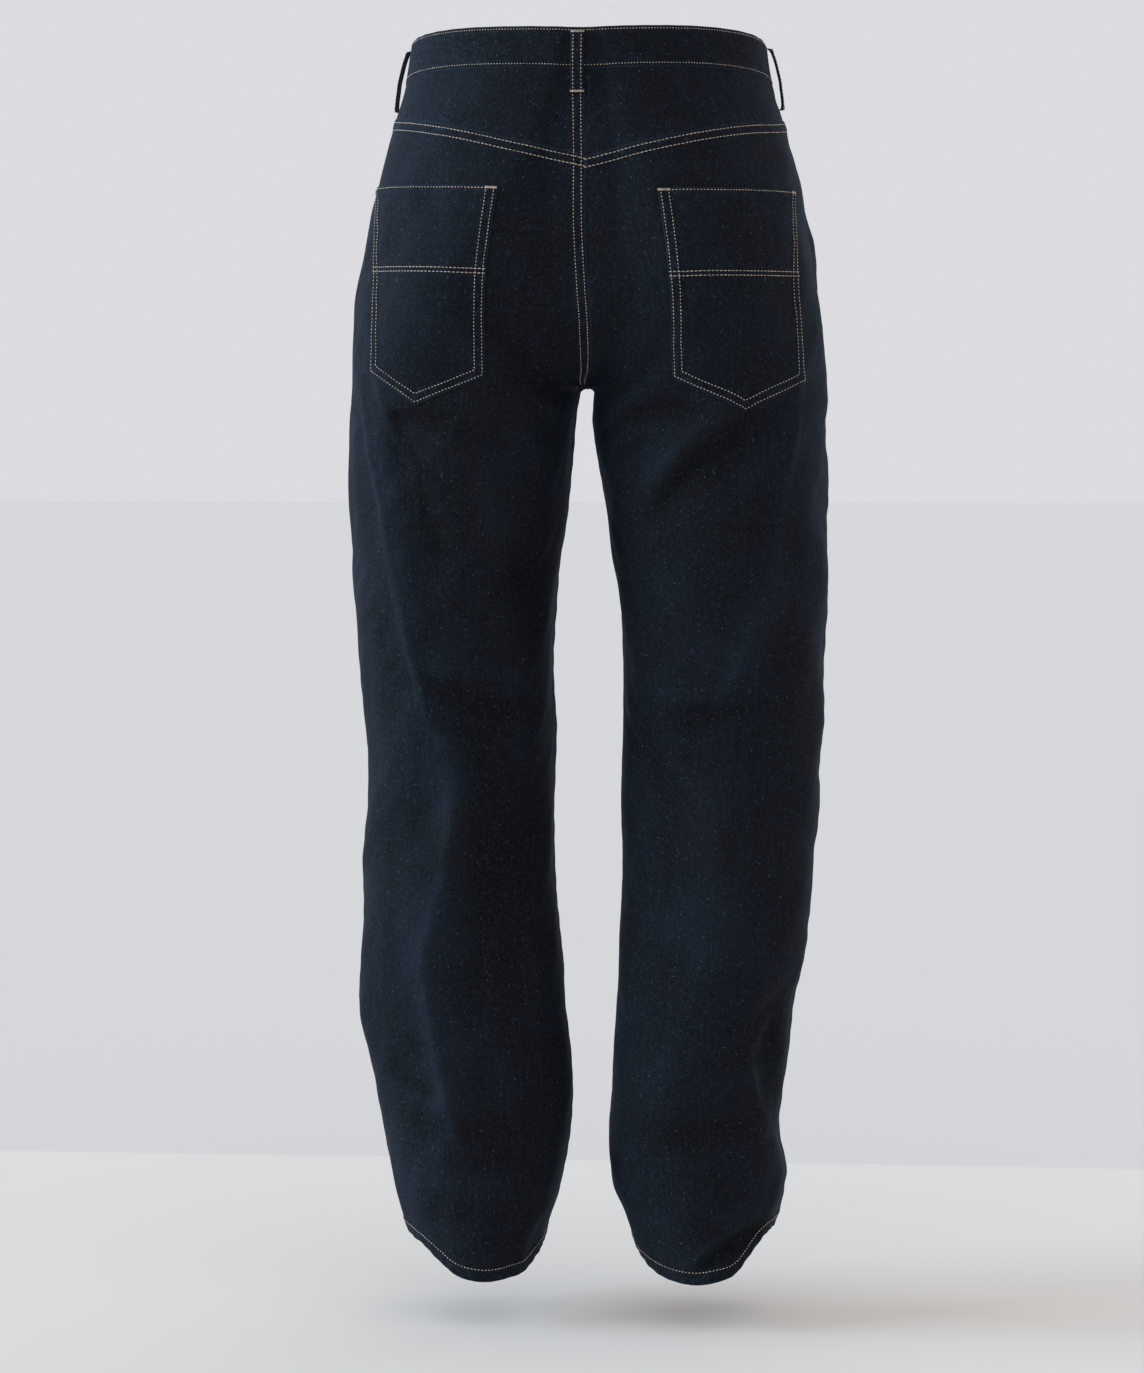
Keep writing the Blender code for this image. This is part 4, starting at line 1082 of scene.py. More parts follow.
def indigo_denim(tree):
    """Raw indigo denim, warp-faced 3/1 right hand twill: dark warp, a little pale weft, slubs and neps.

    The eye sees a near black blue that turns bluer where light grazes its fine nap.
    """
    lines = twill(tree, 62, {"Distortion": 1.2, "Detail": 1, "Detail Scale": 0.6})
    slub = grain(tree, 1.1, 30, 3)
    mottle = grain(tree, 5, 7, 3)
    fibre = grain(tree, 0.8, 1.7, 3, 20, 0.7)
    hairs = [
        (grain(tree, 0.7, 6, 2, 28, 0.6), 0.6, 0.8, 0.6),
        (grain(tree, 0.7, 5, 2, -47, 0.6), 0.6, 0.8, 0.6),
        (lint(tree, 5, 0), 0, 1, 0.9),
        (lint(tree, 3.6, 70), 0, 1, 0.8),
    ]
    stray = layered(tree, "ADD", hairs)
    inputs = {"Vector": woven(tree, 11, 11), "Scale": 1}
    spots = add_node(tree, "ShaderNodeTexVoronoi", inputs, voronoi_dimensions="2D")
    chosen = add_node(tree, "ShaderNodeSeparateColor", {0: spots.node.outputs[1]})
    nep = layered(tree, "MULTIPLY", [(spots, 0.055, 0.02, 1), (chosen, 0.68, 1.05, 1)])
    tones = [
        (slub, 0.3, 0.72, 0.2),
        (grain(tree, 3.2, 130), 0.3, 0.7, 0.12),
        (grain(tree, 16, 0.9), 0.35, 0.75, 0.08),
        (grain(tree, 46, 60, 3), 0.3, 0.7, 0.22),
        (mottle, 0.3, 0.7, 0.2),
        (fibre, 0.35, 0.8, 0.42),
        (lines, 0.2, 0.9, 0.08),
    ]
    # Fold mark from the mesh: paler on crests as wear and painted highlight, darker in hollows as
    # painted shade
    fold_wear_and_shade = add_node(tree, "ShaderNodeAttribute", output=2, attribute_name="fold_wear_and_shade")
    tone = add_node(tree, "ShaderNodeMath", {0: layered(tree, "ADD", tones), 1: fold_wear_and_shade})
    waves, seam = gathering(tree)
    # Crests of the seam puckers, to be painted paler as wear and painted highlight
    rubbed_and_highlit = layered(tree, "MULTIPLY", [(waves, 0.5, 0.75, 1), (seam, 0.15, 0.6, 1)])
    gather = layered(tree, "MULTIPLY", [(waves, 0.3, 0.7, 1), (seam, 0.05, 0.5, 1)])
    inks = [
        (tone, 0.2, 1.15, 1, INDIGO_LIGHT),
        (grain(tree, 70, 90), 0.4, 0.72, 0.6, SMOKE_BLACK_AND_SHADE),
        # Fold hollows darkened towards smoke black: painted shade
        (fold_wear_and_shade, -0.06, -0.4, 0.75, SMOKE_BLACK_AND_SHADE),
        (stray, 0, 1 / 0.62, 1, HAIR_BLUE),
        (nep, 0, 1, 0.8, NEP),
        # Seam puckers and seam edges made paler: wear and painted highlight
        (rubbed_and_highlit, 0, 1, 0.3, INDIGO_WORN_AND_HIGHLIGHT),
        (seam, 0.9, 1, 0.7, INDIGO_WORN_AND_HIGHLIGHT),
    ]
    rises = [
        (gather, 0, 1, 0.5),
        (slub, 0, 1, 0.06),
        (fibre, 0, 1, 0.16),
        (lines, 0, 1, 0.05),
        (mottle, 0, 1, 0.16),
        (stray, 0, 3, 0.18),
        (nep, 0, 1, 0.15),
    ]
    bump = {"Strength": 0.8, "Distance": MM, "Height": layered(tree, "ADD", rises)}
    rough = {0: tone, 1: 0.2, 2: 1.2, 3: 0.86, 4: 0.74}
    return {
        "Base Color": dyed(tree, INDIGO_DARK, inks),
        "Roughness": add_node(tree, "ShaderNodeMapRange", rough),
        "Normal": add_node(tree, "ShaderNodeBump", bump),
        "Specular IOR Level": 0.12,
        "Sheen Weight": 0.1,
        "Sheen Roughness": 0.4,
        "Sheen Tint": linear(SHEEN_BLUE),
    }


def denim_reverse(tree):
    """Reverse of the denim: mostly undyed weft with blue ticks of warp, softer and paler."""
    lines = twill(tree, -62, {"Distortion": 1.5})
    fibre = grain(tree, 0.8, 1.8, 3, 0, 0.7)
    tone = layered(tree, "ADD", [(lines, 0, 1, 0.45), (fibre, 0, 1, 0.7)])
    bump = {"Strength": 0.6, "Distance": 0.3 * MM, "Height": tone}
    return {
        "Base Color": dyed(tree, WEFT_DARK, [(tone, 0.3, 0.9, 1, WEFT)]),
        "Normal": add_node(tree, "ShaderNodeBump", bump),
        "Roughness": 0.9,
        "Specular IOR Level": 0.2,
    }


def clouds(tree, scales):
    """Noises at the given scales to the metre, and their details."""
    place = add_node(tree, "ShaderNodeTexCoord", output="Object")
    found = []
    for scale, detail in scales:
        inputs = {"Vector": place, "Scale": scale, "Detail": detail}
        found.append(add_node(tree, "ShaderNodeTexNoise", inputs))
    return found


def ecru_thread(tree):
    """Ecru core spun polyester and cotton thread: matt, twisted, a little soiled by indigo.

    Soil lies in 11 mm clouds and the plies are 0.6 mm long.
    """
    soil, ply = clouds(tree, ((90, 2), (1600, 2)))
    tone = layered(tree, "ADD", [(soil, 0, 1, 0.7), (ply, 0, 1, 0.5)])
    bump = {"Strength": 0.5, "Distance": 0.2 * MM, "Height": ply}
    return {
        "Base Color": dyed(tree, ECRU_DARK, [(tone, 0.4, 0.75, 1, ECRU)]),
        "Normal": add_node(tree, "ShaderNodeBump", bump),
        "Roughness": 0.75,
    }


def aged_brass(tree):
    """Die-struck brass, aged: brown in 2.4 mm clouds, bright and finely scratched where hands rub it."""
    cloud, scratch = clouds(tree, ((420, 4), (2600, 2)))
    rough = {0: scratch, 1: 0.3, 2: 0.7, 3: 0.28, 4: 0.5}
    bump = {"Strength": 0.3, "Distance": 0.1 * MM, "Height": scratch}
    return {
        "Base Color": dyed(tree, BRASS_DARK, [(cloud, 0.35, 0.65, 1, BRASS_LIGHT)]),
        "Roughness": add_node(tree, "ShaderNodeMapRange", rough),
        "Normal": add_node(tree, "ShaderNodeBump", bump),
        "Metallic": 1.0,
    }


def painted_floor(tree):
    """Pale matt floor paint, a shade darker near the garment than far behind it."""
    place = add_node(tree, "ShaderNodeTexCoord", output="Object")
    along = add_node(tree, "ShaderNodeSeparateXYZ", {0: place}, 1)
    far = (along, FLOOR_LINE, FLOOR_LINE - 0.01, 1, FLOOR_FAR)
    return {"Base Color": dyed(tree, FLOOR_NEAR, [far]), "Roughness": 1.0, "Specular IOR Level": 0.0}


DENIM = finish("indigo_denim_twill", indigo_denim)
REVERSE = finish("denim_reverse_weft", denim_reverse)
THREAD = finish("ecru_core_spun_thread", ecru_thread)
BRASS = finish("aged_struck_brass", aged_brass)
FLOOR_PAINT = finish("pale_painted_floor", painted_floor)
CLOTH_SIDES = (DENIM, REVERSE)


def stitch_tree():
    """Node tree that sews stitches along edge paths whose points carry their outward direction."""
    tree = bpy.data.node_groups.new("topstitching", "GeometryNodeTree")
    sockets = [("Geometry", "Geometry"), ("Seed", "Int"), ("Thread", "Material")]
    sockets += [(name, "Float") for name in STITCH_INPUTS]
    for name, kind in sockets:
        tree.interface.new_socket(name, in_out="INPUT", socket_type="NodeSocket" + kind)
    tree.interface.new_socket("Geometry", in_out="OUTPUT", socket_type="NodeSocketGeometry")
    given = tree.nodes.new("NodeGroupInput").outputs
    path = add_node(tree, "GeometryNodeMeshToCurve", {"Mesh": given["Geometry"]})
    inputs = {"Curve": path, "Length": given["Stitch Length"]}
    spaced = add_node(tree, "GeometryNodeResampleCurve", inputs, mode="LENGTH")
    inputs = {"Segments": 6, "Rings": 5, "Radius": 0.5}
    ball = add_node(tree, "GeometryNodeMeshUVSphere", inputs)
    soft = add_node(tree, "GeometryNodeSetShadeSmooth", {"Geometry": ball})
    inputs = {"Name": "out"}
    out = add_node(tree, "GeometryNodeInputNamedAttribute", inputs, data_type="FLOAT_VECTOR")
    inputs = {0: out, 1: add_node(tree, "GeometryNodeInputTangent")}
    aims = {"primary_axis": "Z", "secondary_axis": "X"}
    aim = add_node(tree, "FunctionNodeAxesToRotation", inputs, **aims)
    inputs = {2: -STITCH_LEAN, 3: STITCH_LEAN, "Seed": given["Seed"]}
    lean = add_node(tree, "FunctionNodeRandomValue", inputs, 1, data_type="FLOAT")
    turned = add_node(tree, "ShaderNodeMath", {0: given["Turn"], 1: lean})
    inputs = {"Axis": (0, 0, 1), "Angle": turned}
    twist = add_node(tree, "FunctionNodeAxisAngleToRotation", inputs)
    inputs = {0: aim, 1: twist}
    facing = add_node(tree, "FunctionNodeRotateRotation", inputs, rotation_space="LOCAL")
    inputs = {0: given["Thread Length"], 1: given["Thread Width"], 2: given["Thread Height"]}
    size = add_node(tree, "ShaderNodeCombineXYZ", inputs)
    inputs = {0: STITCH_LEAST, 1: STITCH_MOST, "Seed": given["Seed"]}
    uneven = add_node(tree, "FunctionNodeRandomValue", inputs, data_type="FLOAT_VECTOR")
    inputs = {0: size, 1: uneven}
    scaled = add_node(tree, "ShaderNodeVectorMath", inputs, operation="MULTIPLY")
    inputs = {"Points": spaced, "Instance": soft, "Rotation": facing, "Scale": scaled}
    row = add_node(tree, "GeometryNodeInstanceOnPoints", inputs)
    real = add_node(tree, "GeometryNodeRealizeInstances", {0: row})
    inputs = {"Geometry": real, "Material": given["Thread"]}
    threads = add_node(tree, "GeometryNodeSetMaterial", inputs)
    add_node(tree, "NodeGroupOutput", {0: threads})
    return tree


STITCH_TREE = stitch_tree()


def sew(name, style, paths):
    """Stitches of one style along paths of points and outward directions, as one plain mesh."""
    verts = np.concatenate([points + normals * STITCH_LIFT for points, normals in paths]) * MM
    outs = np.concatenate([normals for _, normals in paths])
    edges = []
    start = 0
    for points, _ in paths:
        edges += [(k, k + 1) for k in range(start, start + len(points) - 1)]
        start += len(points)
    mesh = bpy.data.meshes.new(name + "_path")
    mesh.from_pydata(verts.tolist(), edges, [])
    out = mesh.attributes.new("out", "FLOAT_VECTOR", "POINT")
    out.data.foreach_set("vector", outs.astype(np.float32).reshape(-1))
    source = placed(name + "_path", mesh)
    modifier = source.modifiers.new("stitches", "NODES")
    modifier.node_group = STITCH_TREE
    *sizes, turn = STITCHES[style]
    values = dict(zip(STITCH_INPUTS, [size * MM for size in sizes] + [math.radians(turn)]))
    values["Seed"] = STITCH_SEED
    values["Thread"] = THREAD
    for item in STITCH_TREE.interface.items_tree:
        if item.name in values:
            modifier[item.identifier] = values[item.name]
    shown = source.evaluated_get(bpy.context.evaluated_depsgraph_get())
    plain = bpy.data.meshes.new_from_object(shown)
    source.modifiers.remove(modifier)
    bpy.data.objects.remove(source)
    plain.name = name
    if not plain.materials:
        plain.materials.append(THREAD)
    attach(placed(name, plain), "root")


def build_half(side, word):
    """Yoke, back, front, pocket, facing and their stitches of one half."""
    points, normals, fold_wear_and_shade = half_garment(side)
    back = slice(BACK_COLUMNS, None, -1)
    front = slice(BACK_COLUMNS + 1, None)
    made = build_back(side, word, points[:, back], normals[:, back], fold_wear_and_shade[:, back])
    made.update(build_front(side, word, points[:, front], normals[:, front], fold_wear_and_shade[:, front]))
    return made


def tucked(points, edge, beside, chosen):
    """Grid whose edge column goes on under the piece sewn to it, on the chosen rows."""
    moved = points.copy()
    share = np.ones(len(points)) * chosen
    moved[:, edge] += unit(points[:, edge] - points[:, beside]) * (TUCK_UNDER * share)[:, None]
    return moved


def build_back(side, word, points, normals, fold_wear_and_shade):
    """Yoke and back panel, with the pocket sewn on it."""
    left = side > 0
    across = run_along(points, 1)
    inner = across[:, -1:] - across
    down = run_along(points, 0)
    lies_under = (points[:, -1, 2] <= CROTCH) | (not left)
    points = tucked(tucked(points, 0, 1, True), -1, -2, lies_under)
    seat = points[:, -1, 2] > CROTCH + NEAR
    centre = (seat & left)[:, None]
    rise = lap_edge(inner) * centre - roll(inner) * (seat & (not left))[:, None]
    rise += pressed_seam(inner) * ~seat[:, None] + pressed_seam(across)
    rise += pucker(down, np.minimum(across, inner))
    rise[:, 0] -= TUCK_DROP
    rise[:, -1] -= TUCK_DROP * ~(seat & left)
    made = {}

    top = slice(0, YOKE_LINES + 1)
    gap = down[YOKE_LINES] - down[top]
    grid = points[top].copy()
    grid[-1] += unit(points[YOKE_LINES + 1] - points[YOKE_LINES]) * TUCK_UNDER
    yoke = Panel(grid, normals[top], rise[top] - TUCK_DROP * (gap < 0.01))
    uv = np.stack([across[top] + YOKE_PLACE, down[top]], axis=-1)
    marks = sewing((gap, across[top]), (inner[top], down[top]))
    under = yoke.surface - yoke.normals * CLOTH
    name = "yoke_" + word
    made[name] = shell(name + "_cloth", yoke, under, uv, marks, CLOTH_SIDES)

    low = slice(YOKE_LINES, None)
    below = down[low] - down[YOKE_LINES]
    above = down[-1] - down[low]
    grid = points[low].copy()
    grid[0] += unit(grid[1] - grid[0]) * SEAM_GAP / 2
    lapped = 1.0 - centre[low] * smooth_step(LAP_WIDTH - inner[low], 0, LAP_MEET)
    height = rise[low] + lap_edge(below) * lapped
    height += pucker(across[low], below) + hem_height(across[low], above)
    body = Panel(grid, normals[low], height)
    uv = np.stack([across[low], down[low]], axis=-1)
    side_gap = np.minimum(across[low], inner[low])
    marks = sewing((side_gap, down[low]), (below, across[low]), (above, across[low]))
    marks["fold_wear_and_shade"] = fold_wear_and_shade[low]
    wall = np.where(above <= HEM_DEPTH, HEM_WALL, CLOTH)[..., None]
    name = "back_" + word
    made[name] = shell(name + "_cloth", body, body.surface - body.normals * wall, uv, marks, CLOTH_SIDES)
    made.update(build_pocket(side, word, body.points))

    paths = [level_column(body, below, value, 2, BACK_COLUMNS) for value in YOKE_ROWS]
    sew("yoke_seam_" + word + "_stitches", "seamstitch", paths)
    paths = [level_column(body, -above, -HEM_ROW, 1, BACK_COLUMNS)]
    if left:
        last = int(np.sum(grid[:, -1, 2] > CROTCH + SEAT_END))
        for value in SEAT_ROWS:
            paths.append(level_row(body, inner[low], value, 0, last))
            paths.append(level_row(yoke, inner[top], value, 1, YOKE_LINES + 1))
    sew(name + "_stitches", "topstitch", paths)
    return made


def build_pocket(side, word, ground):
    """Patch pocket lying on the back panel."""
    ground = ground[:UPPER_LINES + SEAT_LINES + ROUND_LINES + THIGH_LINES]
    quads = quads_of(ground.shape[:2])
    tree = BVHTree.FromPolygons(ground.reshape(-1, 3).tolist(), quads.tolist())
    left = side > 0
    (ax, az), (bx, bz), (px, pz), (cx, cz), (dx, dz) = POCKET_LEFT if left else POCKET_RIGHT
    inner_bow, outer_bow = POCKET_BOW_LEFT if left else POCKET_BOW_RIGHT
    u = edged(POCKET_COLUMNS, GATHER)[None, :]
    v = edged(POCKET_ROWS, GATHER)[:, None]
    top_x = ax + (dx - ax) * u
    top_z = az + (dz - az) * u
    low_z = np.interp(u, [0, (px - bx) / (cx - bx), 1], [bz, pz, cz])
    x = top_x + (bx + (cx - bx) * u - top_x) * v
    x += (inner_bow * (1.0 - u) - outer_bow * u) * np.sin(math.pi * v)
    z = top_z + (low_z - top_z) * v
    inward = Vector((0, -1, 0))
    points = np.zeros(x.shape + (3,))
    for spot in np.ndindex(x.shape):
        points[spot] = tree.ray_cast(Vector((x[spot] * side, BEHIND, z[spot])), inward)[0]
    normals = grid_normals(points, POCKET_ROWS // 2, POCKET_COLUMNS // 2)
    across = run_along(points, 1)
    down = run_along(points, 0)
    side_gap = np.minimum(across, across[:, -1:] - across)
    low_gap = (down[-1:] - down) * POCKET_SLOPE
    gap = np.minimum(side_gap, low_gap)
    height = SEAM_GAP + POCKET_WALL + doubled(gap, *POCKET_TURN) + doubled(down, *POCKET_HEM)
    height += 0.5 * pucker(down + across, gap) + 0.8 * pucker(across * 1.4, down)
    height -= roll(np.minimum(gap, down), POCKET_ROLL, 0.9)
    panel = Panel(points, normals, height)
    marks = sewing((side_gap, down), (low_gap, across), (down, across))
    middle = across[:, POCKET_COLUMNS // 2][:, None]
    uv = np.stack([across - middle + POCKET_PLACE, -points[..., 2]], axis=-1)
    name = "back_pocket_" + word
    made = shell(name + "_cloth", panel, points + normals * SEAM_GAP, uv, marks, (DENIM,))

    start = int(crossing(down[:, 20], POCKET_START))
    paths = [level_column(panel, down, POCKET_TOP_ROW, 2, POCKET_COLUMNS - 1)]
    paths += [pocket_row(panel, across, low_gap, inset, start) for inset in POCKET_INSETS]
    sew(name + "_stitches", "topstitch", paths)
    inner_level, outer_level = CROSS_LEFT if left else CROSS_RIGHT
    level = inner_level + (outer_level - inner_level) * u - points[..., 2]
    middle = across[POCKET_ROWS // 2]
    ends = [int(crossing(middle, place)) + 1 for place in (CROSS_INSET, middle[-1] - CROSS_INSET)]
    cross = [level_column(panel, level, shift, *ends) for shift in (-CROSS_GAP / 2, CROSS_GAP / 2)]
    sew(name + "_cross_stitches", "seamstitch", cross)
    line = across[start]
    row = np.full(TACK_POINTS, float(crossing(down[:, 20], POCKET_TACK_ROW)))
    tacks = []
    for span in (POCKET_TACK, (line[-1] - POCKET_TACK[1], line[-1] - POCKET_TACK[0])):
        columns = np.interp(np.linspace(*span, TACK_POINTS), line, np.arange(len(line)))
        tacks.append(panel.at(row, columns))
    sew(name + "_tacks", "bartack", tacks)
    return {name: made}


def pocket_row(panel, across, low_gap, inset, start):
    """One stitch row down a pocket side, round its bottom and up the other side."""
    rows, near, far = [], [], []
    for i in range(start, len(across)):
        ends = [crossing(across[i], place) for place in (inset, across[i, -1] - inset)]
        if min(low_gap[i, int(end)] for end in ends) < inset:
            break
        rows.append(i)
        near.append(ends[0])
        far.append(ends[1])
    columns = np.arange(int(math.ceil(near[-1])), int(far[-1]) + 1)
    bottom = [crossing(-low_gap[:, j], -inset) for j in columns]
    row = np.concatenate([rows, bottom, rows[::-1]])
    column = np.concatenate([near, columns, far[::-1]])
    return panel.at(row.astype(float), column.astype(float))


def build_front(side, word, points, normals, fold_wear_and_shade):
    """Front panel with its pocket mouth, and the facing that shows in the mouth."""
    across = run_along(points, 1)
    inner = across[:, -1:] - across
    down = run_along(points, 0)
    above = down[-1:] - down
    left = side > 0
    seat = (points[:, -1, 2] > CROTCH + NEAR)[:, None]
    below = points[0:1, :, 2] - points[..., 2]
    mouth = (np.hypot(across / MOUTH_WIDTH, below / MOUTH_DEPTH) - 1.0) * MOUTH_DEPTH
    rise = np.where(seat, lap_edge(inner) if left else -roll(inner), pressed_seam(inner))
    rise += pressed_seam(across) * smooth_step(mouth, 0.0, 6.0)
    rise += doubled(mouth, *MOUTH_TURN) - roll(np.maximum(mouth, 0.0))
    rise += pucker(down, np.minimum(across, inner)) + pucker(below + across, np.abs(mouth))
    rise += hem_height(across, above)
    if not left:
        points = tucked(points, -1, -2, seat[:, 0])
        rise[:, -1] -= TUCK_DROP * seat[:, 0]
    panel = Panel(points, normals, rise)
    side_gap = np.minimum(across, inner)
    marks = sewing((side_gap, down), (above, across), (np.abs(mouth), below + across))
    marks["fold_wear_and_shade"] = fold_wear_and_shade
    wall = np.where(above <= HEM_DEPTH, HEM_WALL, CLOTH)
    uv = np.stack([across + FRONT_PLACE, down], axis=-1)
    name = "front_" + word
    made = {name: cut_shell(name + "_cloth", panel, wall, uv, marks, mouth)}

    columns = int(crossing(across[40], FACING_REACH))
    rows = int(crossing(below[:, 10], FACING_DROP))
    area = (slice(0, rows), slice(0, columns))
    sunk = np.full((rows, columns), -CLOTH - SEAM_GAP)
    facing = Panel(points[area], normals[area], sunk)
    under = facing.surface - facing.normals * FACING_WALL
    marks = {"seam": sunk * 0, "run": marks["run"][area]}
    inlay = "pocket_facing_" + word
    made[inlay] = shell(inlay + "_cloth", facing, under, uv[area] + FACING_PLACE, marks, CLOTH_SIDES)

    paths = [level_column(panel, -above, -HEM_ROW, 1, FRONT_COLUMNS)]
    for inset in MOUTH_ROWS:
        turn = np.linspace(0.02, math.pi / 2 - 0.03, 40)
        wide = (MOUTH_WIDTH + inset) * np.cos(turn)
        deep = (MOUTH_DEPTH + inset) * np.sin(turn)
        paths.append(place_on(panel, across, below, wide, deep))
    if left:
        turn = np.linspace(0.05, math.pi / 2, 14)
        for width, reach in FLY_ROWS:
            curve = FLY_END + (width - FLY_END) * np.cos(turn)
            wide = np.concatenate([np.full(24, width), curve])
            straight = np.linspace(1.0, reach - width, 24)
            deep = np.concatenate([straight, reach - width + width * np.sin(turn)])
            paths.append(place_on(panel, inner, below, wide, deep))
        start = int(crossing(below[:, -2], FRONT_ROWS_START))
        last = int(np.sum(points[:, -1, 2] > CROTCH + SEAT_END))
        paths += [level_row(panel, inner, value, start, last) for value in FRONT_ROWS]
    sew(name + "_stitches", "topstitch", paths)
    return made


def place_on(panel, first_field, second_field, first, second):
    """Fractional rows and columns where two fields take the given pairs of values."""
    found_rows, found_columns = [], []
    rows = np.arange(first_field.shape[0])
    for a, b in zip(first, second):
        columns = np.array([crossing(line, a) for line in first_field])
        j = np.clip(columns.astype(int), 0, first_field.shape[1] - 2)
        t = columns - j
        values = second_field[rows, j] * (1 - t) + second_field[rows, j + 1] * t
        row = crossing(values[:SEARCH_ROWS], b)
        found_rows.append(row)
        found_columns.append(np.interp(row, rows, columns))
    return panel.at(np.array(found_rows), np.array(found_columns))


def band_strip(side, reaches, face, drops):
    """Grid of the band over one quarter of the waist, drops down from its top edge."""
    leg = LEG_LEFT if side > 0 else LEG_RIGHT
    top = edge_height(WAIST, reaches, face)
    heights = top[None, :] - (BAND_HEIGHT - SEAM_GAP / 2) * drops[:, None]
    points = strip(leg, heights, reaches, face)
    points = points * np.array([side, 1.0, 1.0])
    points[:, reaches == 1.0, 0] = 0.0
    return points


def build_waistband():
    """One strip round the waist whose left end laps over the right at centre front."""
    drops = edged(BAND_ROWS, 0.5)
    out_to_in = np.linspace(0.0, 1.0, BAND_COLUMNS + 1)
    in_to_out = out_to_in[::-1]
    quarters = (
        (-1, in_to_out, -1),
        (-1, out_to_in[1:], 1),
        (1, in_to_out[1:], 1),
        (1, out_to_in[1:], -1),
        (-1, np.linspace(1.0, 1.0 - LAP_REACH, LAP_STEPS + 1)[1:], -1),
    )
    points = strayed(np.concatenate([band_strip(*part, drops) for part in quarters], axis=1))
    normals = grid_normals(points, BAND_ROWS // 2, 2 * BAND_COLUMNS)
    count = points.shape[1]
    front = (points[..., 1] < 0) & (np.arange(count) > count // 2)
    lap = smooth_step(LAP_START - points[..., 0], 0.0, LAP_START - LAP_FULL)
    across = run_along(points, 1)
    down = run_along(points, 0)
    low_gap = down[-1:] - down
    level_gap = np.minimum(down, low_gap)
    edge = np.minimum(level_gap, np.minimum(across, across[:, -1:] - across))
    rise = BAND_OUT + np.where(front, lap * LAP_CLEAR, 0.0)
    swell = 0.25 * smooth_step(edge, 2.0, 6.0) + pucker(across, level_gap)
    panel = Panel(points, normals, rise - roll(edge, 0.7) + swell)
    under = points + normals * (rise - BAND_WALL + roll(edge, 0.5))[..., None]
    uv = np.stack([down + BAND_PLACE, across], axis=-1)
    marks = sewing((down, across), (low_gap, across))
    made = shell("waistband_cloth", panel, under, uv, marks, (DENIM,))
    paths = [level_column(panel, down, value, 3, count - 3) for value in BAND_STITCHING]
    for inset in (BAND_END_ROW, float(across[0, -1]) - BAND_END_ROW):
        column = np.interp(inset, across[BAND_ROWS // 2], np.arange(count))
        rows = np.linspace(1.5, BAND_ROWS - 1.5, 12)
        paths.append(panel.at(rows, np.full(12, column)))
    sew("waistband_stitches", "bandstitch", paths)
    return made


def build_loop(name, side, face, reach):
    """Belt loop that stands off the band and is tacked down at both ends."""
    leg = LEG_LEFT if side > 0 else LEG_RIGHT
    middle = reach == 1.0
    reaches = np.clip([reach - 0.01, reach, reach + 0.01], 0.0, 1.0)
    band = band_strip(side, reaches, face, np.array([0.0, 0.5, 1.0]))
    out = np.array([0.0, float(face), 0.0])
    if not middle:
        out = unit(np.cross(unit(band[1, 2] - band[1, 0]), (0.0, 0.0, 1.0)))
        out *= np.sign(np.dot(out, band[1, 1]))
    across = np.array([-out[1], out[0], 0.0])
    drop = edged(LOOP_ROWS, 0.6)
    top = band[0, 1, 2] - LOOP_ABOVE
    band_foot = band[2, 1, 2]
    heights = top + (band_foot - LOOP_BELOW - top) * drop
    base = strip(leg, heights[:, None], np.array([reach]), face)[:, 0]
    base = base * np.array([0.0 if middle else side, 1.0, 1.0])
    over_band = 1.0 / (1.0 + np.exp((band_foot - heights) / LOOP_EASE))
    bow = LOOP_BOW * np.abs(np.sin(math.pi * drop)) ** LOOP_SQUARE
    centre = base + out * (LOOP_STAND + BAND_OUT * over_band + bow)[:, None]
    places = (edged(LOOP_COLUMNS, 0.7) - 0.5) * LOOP_WIDTH
    inner = centre[:, None, :] + places[None, :, None] * across
    run = run_along(inner, 0)
    edge = LOOP_WIDTH / 2 - np.abs(places)[None, :] + np.zeros_like(run)
    end = np.minimum(run, run[-1:] - run)
    wall = LOOP_WALL - roll(edge, 0.6, 0.8) - roll(end, 0.5, 0.8)
    wall += roll(edge - 2.2, 0.25, 1.5) + LOOP_TURN * (end < LOOP_TURN_REACH)
    panel = Panel(inner, np.broadcast_to(out, inner.shape), wall)
    uv = np.stack([places + run * 0 + LOOP_PLACE, run], axis=-1)
    marks = {"seam": np.clip(1.15 - edge / 5.0, 0.0, 0.85), "run": run}
    made = shell(name + "_cloth", panel, inner, uv, marks, (DENIM,))
    columns = np.interp(LOOP_STITCHING, places, np.arange(len(places)))
    rows = np.linspace(3.0, LOOP_ROWS - 3.0, 30)
    sew(name + "_stitches", "topstitch", [panel.at(rows, np.full(30, c)) for c in columns])
    tacks = []
    for value in (LOOP_TACKS[0], float(run[-1, 0]) - LOOP_TACKS[1]):
        row = np.full(LOOP_TACK_POINTS, float(crossing(run[:, 0], value)))
        tacks.append(panel.at(row, np.linspace(0.6, LOOP_COLUMNS - 0.6, LOOP_TACK_POINTS)))
    sew(name + "_tacks", "bartack", tacks)
    return made


